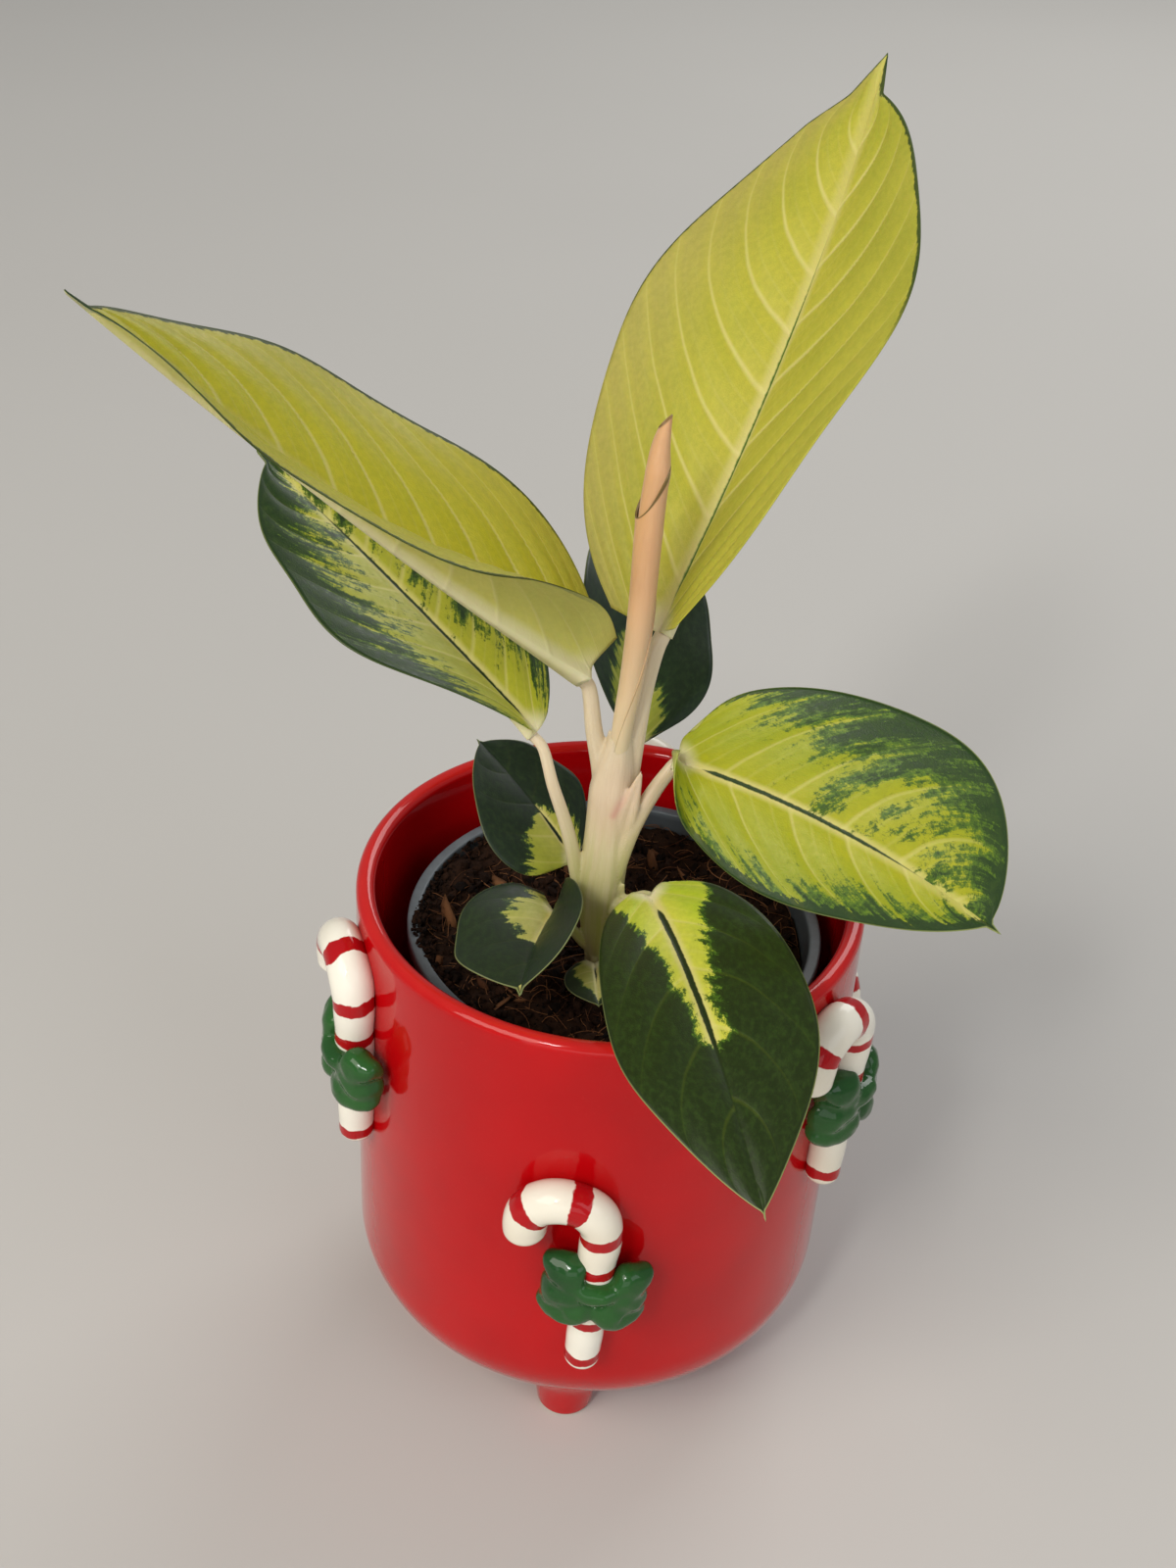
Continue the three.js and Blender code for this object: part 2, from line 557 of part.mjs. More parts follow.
// A point of the blade's upper face. place runs from base to tip and across from -1, the right
// margin, to 1, the left one.
function bladePoint(leaf, rib, place, across) {
  const half = across >= 0 ? leaf.left : leaf.right;
  const hand = across >= 0 ? 1 : -1;
  const share = Math.abs(across);
  const reach = share * half.width * blade(leaf, half, place);
  const back = leaf.lobe * clamp01(1 - place / LOBE_REACH) ** 2;
  const sweep = leaf.sweep * SWEEP_GAIN * place * (1 - place) ** SWEEP_FADE;
  const distance = place * leaf.length + (sweep - back) * share ** SWEEP_CURVE;
  const along = clamp01(distance / leaf.length);
  const fold = mix(half.fold[1], half.fold[0], (1 - along) ** 2) + half.bump * 4 * along * (1 - along);
  const bend = (half.curl * share * DEGREE) / 2;
  const slope = fold * DEGREE + bend;
  const chord = Math.abs(bend) > TINY ? Math.sin(bend) / bend : 1;
  const swing = Math.sin(TURN * leaf.waves * place + hand) * Math.sin(Math.PI * place);
  const wave = leaf.wave * share ** 2 * swing;
  const { point, side, out } = rib(distance);
  point.addScaledVector(side, hand * (reach * chord * Math.cos(slope) - wave * Math.sin(slope)));
  return point.addScaledVector(out, reach * chord * Math.sin(slope) + wave * Math.cos(slope));
}

// The closed blade: the upper face, the same face set back by the blade's thickness, and the
// edge between them. A keel under the midrib makes it thicker there.
function leafBlade(leaf) {
  const rib = midrib(leaf);
  const middle = BLADE_COLUMNS.indexOf(0);
  const nudge = 0.004;
  const upper = [];
  const lower = [];
  const rows = leaf.cuts;
  for (let i = 0; i < rows; i += 1) {
    const place = i / rows;
    for (const column of BLADE_COLUMNS) {
      const point = bladePoint(leaf, rib, place, column);
      const ahead = bladePoint(leaf, rib, place + nudge, column).sub(point);
      const leftward = bladePoint(leaf, rib, place, Math.min(1, column + nudge));
      leftward.sub(bladePoint(leaf, rib, place, Math.max(-1, column - nudge)));
      const normal = new THREE.Vector3().crossVectors(ahead, leftward).normalize();
      const flank = Math.abs(column) === FLANK_COLUMN ? FLANK_SHARE : 0;
      const keel = (column === 0 ? 1 : flank) * leaf.keel * (1 - place);
      upper.push(point);
      lower.push(point.clone().addScaledVector(normal, -(BLADE + keel)));
    }
  }
  const tip = bladePoint(leaf, rib, 1, 0);
  upper.push(tip);
  lower.push(tip.clone().addScaledVector(rib(leaf.length).out, -BLADE));
  const width = BLADE_COLUMNS.length;
  const count = upper.length;
  const cells = [];
  for (let j = 0; j + 1 < width; j += 1) {
    for (let i = 0; i + 1 < rows; i += 1) {
      const a = i * width + j;
      const [b, c, d] = [a + width, a + width + 1, a + 1];
      cells.push(...(j < middle ? [[a, b, c], [a, c, d]] : [[a, b, d], [b, c, d]]));
    }
    cells.push([(rows - 1) * width + j, count - 1, (rows - 1) * width + j + 1]);
  }
  const rim = [];
  for (let j = 0; j < width; j += 1) {
    rim.push(j);
  }
  for (let i = 1; i < rows; i += 1) {
    rim.push(i * width + width - 1);
  }
  rim.push(count - 1);
  for (let i = rows - 1; i > 0; i -= 1) {
    rim.push(i * width);
  }
  const index = cells.flatMap(([a, b, c]) => [a, b, c, a + count, c + count, b + count]);
  rim.forEach((a, k) => {
    const b = rim[(k + 1) % rim.length];
    index.push(a, b, b + count, a, b + count, a + count);
  });
  return weld(fromTriangles([...upper, ...lower], index));
}

// Stem with its petioles and sheath tips, one body

function petiole(leaf) {
  const { route, radii } = PETIOLES[leaf.name];
  const { point, forward, out } = midrib(leaf)(0);
  const under = BLADE + GAP + PETIOLE_SEAT * radii[1];
  const end = point.addScaledVector(forward, -1.3 * GAP).addScaledVector(out, -under);
  const straight = Math.min(PETIOLE_APPROACH.most, PETIOLE_APPROACH.share * leaf.length);
  const approach = end.clone().addScaledVector(forward, -straight);
  const stops = [...route, approach.toArray(), end.toArray()];
  const last = stops.length - 1;
  const stations = stops.map((at, i) => ({ at, radius: mix(radii[0], radii[1], i / last) }));
  return taperedTube(stations, PETIOLE_STEPS_PER_STOP * last + 1, PETIOLE_SIDES);
}

function sheathTip({ from, to, width }) {
  const middle = vector(from).lerp(vector(to), 0.5).toArray();
  const route = [
    { at: from, radius: width },
    { at: middle, radius: width * SHEATH_MIDDLE },
    { at: to, radius: SHEATH_POINT },
  ];
  const flattened = (radius, angle) => radius * (1 - SHEATH_FLATTEN * Math.sin(angle) ** 2);
  return taperedTube(route, SHEATH_STEPS, PETIOLE_SIDES, 0, flattened);
}

function spear() {
  const rolled = (radius, angle, place) => {
    const lap = (angle / TURN + (place * SPEAR_TWIST) / 360) % 1;
    return radius * (1 + SPEAR_STEP * (lap - 0.5));
  };
  return taperedTube(SPEAR_ROUTE, SPEAR_STEPS, SPEAR_SIDES, 0, rolled);
}

// The hollow in the crown that the rolled leaf stands in
function spearHole() {
  return toSolid(taperedTube(SPEAR_ROUTE, SPEAR_STEPS, SPEAR_SIDES, 2 * GAP));
}

function stem() {
  const shaft = taperedTube(STEM_ROUTE, STEM_STEPS, STEM_SIDES);
  const limbs = [shaft, ...LEAVES.map(petiole), ...SHEATH_TIPS.map(sheathTip)];
  return toGeometry(join(limbs).subtract(spearHole()));
}

// Candy canes and bows, made on the front of the planter

const WALL_CLEAR = PLANTER_RADIUS + GAP;

// A place on the planter's front wall: x is measured round the wall, forward out from it
function onWall(x, forward, z) {
  const angle = x / PLANTER_RADIUS;
  const radius = PLANTER_RADIUS + forward;
  return new THREE.Vector3(radius * Math.sin(angle), -radius * Math.cos(angle), z);
}

// Keeps a point of a skin off the planter's wall
function offWall(point) {
  const radius = Math.hypot(point.x, point.y);
  const scale = Math.max(1, WALL_CLEAR / radius);
  point.x *= scale;
  point.y *= scale;
  return point;
}

function caneCurve() {
  const shoulder = CANE_HOOK_CENTRE.x + CANE_HOOK_RADIUS;
  const forward = (radius) => GAP + CANE_SEAT * radius;
  const places = [];
  for (let i = 0; i < CANE_STICK_STEPS; i += 1) {
    const share = i / CANE_STICK_STEPS;
    const x = mix(CANE_FOOT.x, shoulder, share);
    const z = mix(CANE_FOOT.z, CANE_HOOK_CENTRE.z, share);
    places.push(onWall(x, forward(mix(CANE_THIN, CANE_THICK, share)), z));
  }
  for (let i = 0; i <= CANE_HOOK_STEPS; i += 1) {
    const angle = (i / CANE_HOOK_STEPS) * Math.PI;
    const x = CANE_HOOK_CENTRE.x + CANE_HOOK_RADIUS * Math.cos(angle);
    const z = CANE_HOOK_CENTRE.z + CANE_HOOK_RADIUS * Math.sin(angle);
    places.push(onWall(x, forward(CANE_THICK), z));
  }
  const tip = { x: CANE_HOOK_CENTRE.x - CANE_HOOK_RADIUS, z: CANE_HOOK_CENTRE.z - CANE_TIP_DROP };
  places.push(onWall(tip.x, forward(CANE_THICK), tip.z));
  return new THREE.CatmullRomCurve3(places, false, "centripetal");
}

function caneRadius(place) {
  return mix(CANE_THIN, CANE_THICK, clamp01(place / CANE_STICK_SHARE));
}

// Rings of a cane, closer together where its ends are rounded
function caneRows() {
  const row = (place, share) => ({ place, radius: caneRadius(place) * share });
  const foot = CANE_ROUND_END.map(({ place, share }) => row(place, share));
  const tip = CANE_ROUND_END.map(({ place, share }) => row(1 - place, share)).reverse();
  const between = [];
  for (let i = 2; i + 1 < CANE_STEPS; i += 1) {
    between.push(row(i / CANE_STEPS, 1));
  }
  return [...foot, ...between, ...tip];
}

function candyCane() {
  return weld(tube(caneCurve(), caneRows(), CANE_SIDES, undefined, offWall));
}

function bow() {
  const parts = BOW_PARTS.map(({ at, half, forward, tilt }) => {
    const ball = new THREE.SphereGeometry(1, BOW_SIDES, BOW_RINGS).scale(...half);
    ball.rotateY(tilt * DEGREE);
    const place = onWall(BOW_CENTRE.x + at[0], forward, BOW_CENTRE.z + at[1]);
    ball.rotateZ(Math.atan2(place.x, -place.y));
    return ball.translate(place.x, place.y, place.z);
  });
  const wall = new THREE.CylinderGeometry(WALL_CLEAR, WALL_CLEAR, PLANTER_HEIGHT, PLANTER_SEGMENTS);
  wall.rotateX(Math.PI / 2);
  wall.translate(0, 0, PLANTER_HEIGHT / 2);
  const stick = BOW_COVERS.map((place) => ({ place, radius: caneRadius(place) + 2 * GAP }));
  const cane = tube(caneCurve(), stick, CANE_SIDES);
  return toGeometry(join(parts).subtract(toSolid(cane)).subtract(toSolid(wall)));
}

// Assembly

function piece(name, geometry, finish) {
  const { color, roughness } = FINISHES[finish];
  const material = new THREE.MeshStandardMaterial({ color, roughness, metalness: 0 });
  const mesh = new THREE.Mesh(geometry, material);
  mesh.name = name;
  return mesh;
}

function ornaments() {
  const canes = candyCane();
  const bows = bow();
  return CANE_PLACES.flatMap((place, i) => {
    const pair = [piece(`candy_cane_${place}`, canes.clone(), "white_glaze")];
    pair.push(piece(`bow_${place}`, bows.clone(), "green_glaze"));
    pair.forEach((mesh) => {
      mesh.rotation.z = (i / CANE_PLACES.length) * TURN;
      mesh.position.z = i % 2 === 1 ? CANE_LIFT : 0;
    });
    return pair;
  });
}

const parts = new THREE.Group();
parts.add(piece("planter", planter(), "red_glaze"));
parts.add(...ornaments());
parts.add(piece("nursery_pot", nurseryPot(), "grey_plastic"));
parts.add(piece("soil", soil(), "soil"));
parts.add(piece("stem", stem(), "petiole"));
parts.add(piece("new_leaf_spear", weld(spear()), "new_leaf"));
LEAVES.forEach((leaf) => {
  const finish = YELLOW_LEAVES.includes(leaf.name) ? "yellow_blade" : "green_blade";
  parts.add(piece(leaf.name, leafBlade(leaf), finish));
});

const pottedAglaonema = new THREE.Group();
pottedAglaonema.add(parts);
pottedAglaonema.updateMatrixWorld(true);
const box = new THREE.Box3().setFromObject(pottedAglaonema, true);
const middle = box.getCenter(new THREE.Vector3());
parts.position.set(-middle.x, -middle.y, -box.min.z);

export default pottedAglaonema;
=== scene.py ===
# %% [markdown]
# A potted aglaonema, modelled in Blender
#
# This notebook dresses a young variegated aglaonema that stands, still in its grey nursery pot,
# in a red glazed planter with candy canes and bows on its wall. The frame that is loaded first
# holds a plain solid for every piece. Each cell below makes the finer piece that takes a solid's
# place, in the same spot, and then the finish that the real surface has.
#
# Lengths are written in millimetres, measured from the planter's axis and from the table. One
# function turns them into metres in the frame.

# %% Load the frame
import math

import bmesh
import bpy
import numpy as np
from mathutils import Matrix, Vector, kdtree, noise


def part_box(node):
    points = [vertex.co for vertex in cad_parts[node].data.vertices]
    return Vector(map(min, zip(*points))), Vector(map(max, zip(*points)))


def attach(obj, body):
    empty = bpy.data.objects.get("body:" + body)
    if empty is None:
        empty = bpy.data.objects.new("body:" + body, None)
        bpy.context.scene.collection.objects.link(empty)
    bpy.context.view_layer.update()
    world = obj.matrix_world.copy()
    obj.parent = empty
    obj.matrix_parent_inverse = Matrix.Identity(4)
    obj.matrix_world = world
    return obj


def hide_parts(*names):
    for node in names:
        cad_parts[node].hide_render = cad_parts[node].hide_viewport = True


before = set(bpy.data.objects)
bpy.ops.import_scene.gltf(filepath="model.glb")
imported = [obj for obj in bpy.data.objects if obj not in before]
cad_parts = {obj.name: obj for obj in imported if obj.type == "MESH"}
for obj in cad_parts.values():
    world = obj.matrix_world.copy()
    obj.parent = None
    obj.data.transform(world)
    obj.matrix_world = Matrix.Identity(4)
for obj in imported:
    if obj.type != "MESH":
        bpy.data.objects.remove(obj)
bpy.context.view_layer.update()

MM = 0.001
TURN = 2 * math.pi
planter_low, planter_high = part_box("planter")
AXIS = np.array([(planter_low.x + planter_high.x) / 2, (planter_low.y + planter_high.y) / 2, 0.0])
print("nodes in the frame:", len(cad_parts), "- planter's axis at", np.round(AXIS / MM, 2), "mm")

# %% [markdown]
# The camera comes first, because every later choice of detail depends on what it sees. The
# photograph was taken by hand from about half a metre, looking down at the planter and slightly
# rolled. The values were found by fitting the planter's rim and wall, so they are written as a
# target point, a distance and two angles, which are easier to read than a matrix.

# %% Camera
PHOTO_WIDTH = 1200
FOCAL_PIXELS = 1974.25
SENSOR_WIDTH = 36.0
CAMERA_TARGET = (-8.3, 0.0, 194.7)
CAMERA_DISTANCE = 527.7
CAMERA_ELEVATION = math.radians(34.83)
CAMERA_ROLL = math.radians(3.67)


def world_point(point):
    """A point in millimetres from the planter's axis, as metres in the frame."""
    return Vector(np.asarray(point, float) * MM + AXIS)


def aim(elevation, roll):
    """The camera's right, up and backward directions, as the columns of a matrix."""
    forward = Vector((0, math.cos(elevation), -math.sin(elevation)))
    level = Vector((1, 0, 0))
    above = level.cross(forward)
    right = math.cos(roll) * level + math.sin(roll) * above
    up = math.cos(roll) * above - math.sin(roll) * level
    return Matrix((right, up, -forward)).transposed()


lens = bpy.data.cameras.new("camera")
lens.sensor_fit = "HORIZONTAL"
lens.sensor_width = SENSOR_WIDTH
lens.lens = FOCAL_PIXELS / PHOTO_WIDTH * SENSOR_WIDTH
camera = bpy.data.objects.new("camera", lens)
bpy.context.scene.collection.objects.link(camera)
facing = aim(CAMERA_ELEVATION, CAMERA_ROLL)
camera.matrix_world = facing.to_4x4()
camera.location = world_point(CAMERA_TARGET) + facing.col[2] * CAMERA_DISTANCE * MM
bpy.context.scene.camera = camera
print("lens", round(lens.lens, 2), "mm, camera", round(camera.location.z / MM), "mm above the table")

# %% [markdown]
# Two helpers make every piece. The first turns rows of points into a closed skin: quads between
# the rows and a fan at each end. The second makes the object: its place is in its mesh, so the
# object itself stays at the origin. A third helper hangs it on the body it rides on, hides the
# solid it stands for and gives it its finish.

# %% Making pieces


def closed_tube(rings):
    """Points and faces of a closed skin over rings of points, with a fan at each end."""
    rows, sides = rings.shape[:2]
    points = np.vstack([rings.reshape(-1, 3), rings[0].mean(0), rings[-1].mean(0)])
    index = np.arange(rows * sides).reshape(rows, sides)
    after = np.roll(index, -1, axis=1)
    quads = np.stack([index[:-1], after[:-1], after[1:], index[1:]], -1).reshape(-1, 4)
    start = [(rows * sides, b, a) for a, b in zip(index[0], after[0])]
    end = [(rows * sides + 1, a, b) for a, b in zip(index[-1], after[-1])]
    return points, quads.tolist() + start + end


def merge(skins):
    """Several skins as one list of points and one of faces."""
    points = []
    faces = []
    count = 0
    for skin_points, skin_faces in skins:
        faces.extend([[corner + count for corner in face] for face in skin_faces])
        points.append(skin_points)
        count += len(skin_points)
    return np.vstack(points), faces


def make_object(name, points, faces):
    """A smooth shaded mesh object from points in millimetres, with its faces turned out."""
    mesh = bpy.data.meshes.new(name)
    mesh.from_pydata((np.asarray(points) * MM + AXIS).tolist(), [], faces)
    work = bmesh.new()
    work.from_mesh(mesh)
    bmesh.ops.recalc_face_normals(work, faces=work.faces)
    work.to_mesh(mesh)
    work.free()
    mesh.shade_smooth()
    made = bpy.data.objects.new(name, mesh)
    bpy.context.scene.collection.objects.link(made)
    return made


def set_attribute(made, name, values):
    """Stores three numbers for each vertex, for the materials to read."""
    attribute = made.data.attributes.new(name, "FLOAT_VECTOR", "POINT")
    attribute.data.foreach_set("vector", np.asarray(values, np.float32).ravel())


def place_piece(made, node, materials):
    """Gives a piece its finish and puts it in the place of its solid in the frame."""
    for material in materials:
        made.data.materials.append(material)
    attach(made, "root")
    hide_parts(node)
    made.data.calc_loop_triangles()
    size = [round(side / MM, 1) for side in made.dimensions]
    print(made.name, size, "mm,", len(made.data.loop_triangles), "triangles")


def bake(made, keep_name):
    """Applies an object's modifiers, so that none is left on it."""
    ready = made.evaluated_get(bpy.context.evaluated_depsgraph_get())
    mesh = bpy.data.meshes.new_from_object(ready)
    made.modifiers.clear()
    made.data = mesh
    made.data.name = keep_name
    made.data.shade_smooth()


# %% [markdown]
# Materials are built from nodes. One small function adds any node: its settings are named
# values, and each input takes a number, a colour or another node's output. Colours are picked
# as sRGB hex codes, the way a screen shows them, and one function turns them into the linear
# values that Blender mixes.

# %% Making materials


def paint(code):
    """A linear colour from an sRGB hex code."""
    parts = [int(code[i : i + 2], 16) / 255 for i in (1, 3, 5)]
    linear = [c / 12.92 if c <= 0.04045 else ((c + 0.055) / 1.055) ** 2.4 for c in parts]
    return (*linear, 1.0)


def add(tree, kind, inputs, **settings):
    """Adds a node with its settings. An input's value is a constant or an output to link."""
    made = tree.nodes.new("ShaderNode" + kind)
    for name, value in settings.items():
        setattr(made, name, value)
    for key, value in inputs.items():
        if isinstance(value, bpy.types.NodeSocket):
            tree.links.new(value, made.inputs[key])
        else:
            made.inputs[key].default_value = value
    return made


def new_material(name):
    """An empty node tree with an output, and the material that holds it."""
    material = bpy.data.materials.new(name)
    material.use_nodes = True
    material.node_tree.nodes.clear()
    material.node_tree.nodes.new("ShaderNodeOutputMaterial")
    return material, material.node_tree


def finish(tree, shader):
    """Joins the surface shader to the material's output."""
    tree.links.new(shader.outputs[0], tree.nodes["Material Output"].inputs["Surface"])


# %% [markdown]
# The planter is slip cast: liquid clay sets against the inside of a plaster mould, which leaves
# an even wall and soft edges. A profile turned round the axis makes it. A lathe alone would be
# too perfect for a fired pot, so the wall wanders by a tenth of a millimetre, which is what makes
# long reflections bend.

# %% Planter body
PLANTER_HEIGHT = 163.0
PLANTER_RADIUS = 71.7
PLANTER_WALL = 5.4
PLANTER_UNDERSIDE = 14.0
PLANTER_FLOOR = 6.0
PLANTER_CORNER = 24.0
PLANTER_SIDES = 224
WALL_WANDER = 0.12


def arc(x, z, radius, start, end, steps):
    """Points of an arc in a profile, with angles in degrees from the outward direction."""
    angles = np.radians(np.linspace(start, end, steps))
    return np.stack([x + radius * np.cos(angles), z + radius * np.sin(angles)], -1)


def straight(start, end, steps):
    """Points between two places in a profile, without its ends."""
    shares = np.linspace(0, 1, steps + 2)[1:-1, None]
    return (1 - shares) * np.array(start) + shares * np.array(end)


def turned_rings(profile, sides):
    """A profile of radius and height turned round the axis, as rings of points."""
    angles = np.linspace(0, TURN, sides, endpoint=False)
    radius = profile[:, 0:1]
    height = np.broadcast_to(profile[:, 1:2], (len(profile), sides))
    return np.stack([radius * np.cos(angles), radius * np.sin(angles), height], -1)


def planter_profile():
    """Radius and height along the planter's skin, from the underside over the lip to the floor."""
    inner = PLANTER_RADIUS - PLANTER_WALL
    inside = PLANTER_UNDERSIDE + PLANTER_FLOOR
    inner_corner = PLANTER_CORNER - PLANTER_FLOOR
    lip = PLANTER_WALL / 2
    corner_top = PLANTER_UNDERSIDE + PLANTER_CORNER
    shoulder = PLANTER_HEIGHT - lip
    flat = PLANTER_RADIUS - PLANTER_CORNER
    return np.vstack([
        straight((0, PLANTER_UNDERSIDE), (flat, PLANTER_UNDERSIDE), 8),
        arc(flat, corner_top, PLANTER_CORNER, -90, 0, 22),
        straight((PLANTER_RADIUS, corner_top), (PLANTER_RADIUS, shoulder), 44),
        arc(PLANTER_RADIUS - lip, shoulder, lip, 0, 180, 17),
        straight((inner, shoulder), (inner, inside + inner_corner), 30),
        arc(inner - inner_corner, inside + inner_corner, inner_corner, 0, -90, 14),
        straight((inner - inner_corner, inside), (0, inside), 6),
    ])


def wandering(rings):
    """Lets the radius drift a little, as clay does between the mould and the kiln."""
    angle = np.arctan2(rings[..., 1], rings[..., 0])
    height = rings[..., 2]
    drift = np.sin(2 * angle + height / 61) + 0.6 * np.sin(5 * angle - height / 33)
    share = 1 + WALL_WANDER * drift / PLANTER_RADIUS
    return rings * np.stack([share, share, np.ones_like(share)], -1)


planter_skin = closed_tube(wandering(turned_rings(planter_profile(), PLANTER_SIDES)))
print("planter profile points:", len(planter_profile()))

# %% [markdown]
# Each foot is pressed on while the clay is wet, so it swells softly into the underside. Instead
# of cutting and rounding a joint, the foot's rings are spread as they near the underside, whose
# height is known at every point. That gives a fillet that follows the curved corner exactly.

# %% Planter feet
FOOT_COUNT = 3
FOOT_AZIMUTH = -4.0
FOOT_CIRCLE = 50.0
FOOT_TOP_RADIUS = 10.4
FOOT_BOTTOM_RADIUS = 8.6
FOOT_EDGE = 1.6
FOOT_FLARE = 2.6
FOOT_SINK = 1.5
FOOT_SIDES = 72
FOOT_RINGS = 26


def underside_height(x, y):
    """Height of the planter's outer skin above the table, under its rounded corner."""
    past = np.maximum(0, np.hypot(x, y) - (PLANTER_RADIUS - PLANTER_CORNER))
    drop = np.sqrt(np.maximum(0, PLANTER_CORNER**2 - past**2))
    return PLANTER_UNDERSIDE + PLANTER_CORNER - drop


def foot_skin(azimuth):
    """One foot: a rounded lower edge, a taper and a flare that runs into the underside."""
    centre = (FOOT_CIRCLE * math.sin(azimuth), -FOOT_CIRCLE * math.cos(azimuth))
    angles = np.linspace(0, TURN, FOOT_SIDES, endpoint=False)
    rings = []
    for drop in np.linspace(90, 0, 7):
        reach = FOOT_BOTTOM_RADIUS - FOOT_EDGE * (1 - math.cos(math.radians(drop)))
        rings.append((reach, FOOT_EDGE * (1 - math.sin(math.radians(drop))), 0.0))
    for share in np.linspace(0, 1, FOOT_RINGS)[1:]:
        flare = FOOT_FLARE * share**6
        taper = FOOT_BOTTOM_RADIUS + (FOOT_TOP_RADIUS - FOOT_BOTTOM_RADIUS) * share
        rings.append((taper + flare, FOOT_EDGE * (1 - share), share))
    rings.append((FOOT_TOP_RADIUS, FOOT_SINK, 1.0))
    points = []
    for reach, height, share in rings:
        x = centre[0] + reach * np.cos(angles)
        y = centre[1] + reach * np.sin(angles)
        points.append(np.stack([x, y, height + share * underside_height(x, y)], -1))
    return closed_tube(np.array(points))


feet = [foot_skin(math.radians(FOOT_AZIMUTH) + i * TURN / FOOT_COUNT) for i in range(FOOT_COUNT)]
planter = make_object("planter_body", *merge([planter_skin, *feet]))
print("feet:", len(feet), "- vertices in the planter:", len(planter.data.vertices))

# %% [markdown]
# Earthenware with a red glaze. A glaze is a skin of glass over coloured clay, so the shader gets
# a clear coat over a softer base: the eye sees a deep colour under sharp reflections. The glass
# runs while it melts and lies a little unevenly, which the bump copies, and it is thin on the
# rim, where the colour is painted lighter, partly for the thin glaze and partly as a painted
# highlight. The bottoms of the feet are wiped clean before firing and show bare buff clay.

# %% Red glazed earthenware
GLAZE_IOR = 1.38
GLAZE_RIPPLE = 9.0
SPECK = 1.1


def earthenware_glaze(name, colour, thin_colour, thick_colour, bands=None):
    """A glazed surface. bands, if given, is a function that adds its own painted bands."""
    material, tree = new_material(name)
    place = add(tree, "TexCoord", {}).outputs["Object"]
    drift = add(tree, "TexNoise", {"Vector": place, "Scale": 1 / (38 * MM), "Detail": 2.0})
    pool = add(tree, "MapRange", {0: drift.outputs[0], 1: 0.35, 2: 0.65})
    body = add(tree, "Mix", {0: pool.outputs[0], 6: paint(thick_colour), 7: paint(colour)},
               data_type="RGBA")
    grain = add(tree, "TexNoise", {"Vector": place, "Scale": 1 / (SPECK * MM), "Detail": 3.0})
    fleck = add(tree, "MapRange", {0: grain.outputs[0], 1: 0.62, 2: 0.8, 3: 0.0, 4: 0.25})
    tone = add(tree, "Mix", {0: fleck.outputs[0], 6: body.outputs[2], 7: paint(thin_colour)},
               data_type="RGBA")
    coloured = tone.outputs[2]
    if bands:
        coloured = bands(tree, coloured)
    ripple = add(tree, "TexNoise", {"Vector": place, "Scale": 1 / (GLAZE_RIPPLE * MM), "Detail": 1.5})
    lift = add(tree, "Bump", {"Height": ripple.outputs[0], "Strength": 0.2, "Distance": 0.5 * MM})
    wear = add(tree, "MapRange", {0: drift.outputs[0], 3: 0.16, 4: 0.26})
    shader = add(tree, "BsdfPrincipled", {
        "Base Color": coloured,
        "Roughness": wear.outputs[0],
        "IOR": GLAZE_IOR,
        "Specular IOR Level": 0.04,
        "Coat Weight": 0.85,
        "Coat Roughness": 0.05,
        "Coat IOR": GLAZE_IOR,
        "Normal": lift.outputs[0],
        "Coat Normal": lift.outputs[0],
    })
    finish(tree, shader)
    return material


def rim_and_foot(tree, coloured):
    """Thin glaze and a painted highlight along the rim, and bare clay under the feet."""
    place = add(tree, "TexCoord", {}).outputs["Object"]
    height = add(tree, "SeparateXYZ", {0: place}).outputs["Z"]
    smudge = add(tree, "TexNoise", {"Vector": place, "Scale": 1 / (7 * MM), "Detail": 3.0})
    wobble = add(tree, "MapRange", {0: smudge.outputs[0], 3: -0.6 * MM, 4: 0.6 * MM})
    level = add(tree, "Math", {0: height, 1: wobble.outputs[0]}, operation="ADD")
    # The top 2.2 mm of the rim is painted lighter: partly the thin glaze there, partly a painted highlight.
    rim = add(tree, "MapRange", {0: level.outputs[0], 1: (PLANTER_HEIGHT - 2.2) * MM,
                                 2: PLANTER_HEIGHT * MM, 3: 0.0, 4: 0.45})
    thin_glaze_and_highlight = add(tree, "Mix", {0: rim.outputs[0], 6: coloured, 7: paint("#D2332B")}, data_type="RGBA")
    bare = add(tree, "MapRange", {0: level.outputs[0], 1: 0.5 * MM, 2: 0.9 * MM, 3: 1.0, 4: 0.0})
    clay = add(tree, "Mix", {0: bare.outputs[0], 6: thin_glaze_and_highlight.outputs[2], 7: paint("#CDB28A")},
               data_type="RGBA")
    return clay.outputs[2]


red_glaze = earthenware_glaze("red_glazed_earthenware", "#BE060D", "#C8241F", "#B2050B", rim_and_foot)
place_piece(planter, "planter", [red_glaze])

# %% [markdown]
# The nursery pot is injection moulded polypropylene: a thin tapering wall, a rolled lip that
# stiffens it, and drain holes in the floor. Its profile is turned on the axis, and the drain
# holes are cut with small cylinders. The pot stands a little off the planter's middle.

# %% Nursery pot
POT_RADIUS = 59.2
POT_LIP_WIDTH = 2.0
POT_LIP_HEIGHT = 4.5
POT_BASE_RADIUS = 43.0
POT_RIM = 148.0
POT_WALL = 1.4
POT_SIDES = 144
POT_EDGE = 0.7
DRAIN_COUNT = 6
DRAIN_RADIUS = 4.0
DRAIN_CIRCLE = 28.0
POT_FLOOR = PLANTER_UNDERSIDE + PLANTER_FLOOR + 0.3
POT_TOP_RADIUS = POT_RADIUS - POT_LIP_WIDTH
POT_SHIFT = (1.8, 0.0, 0.0)


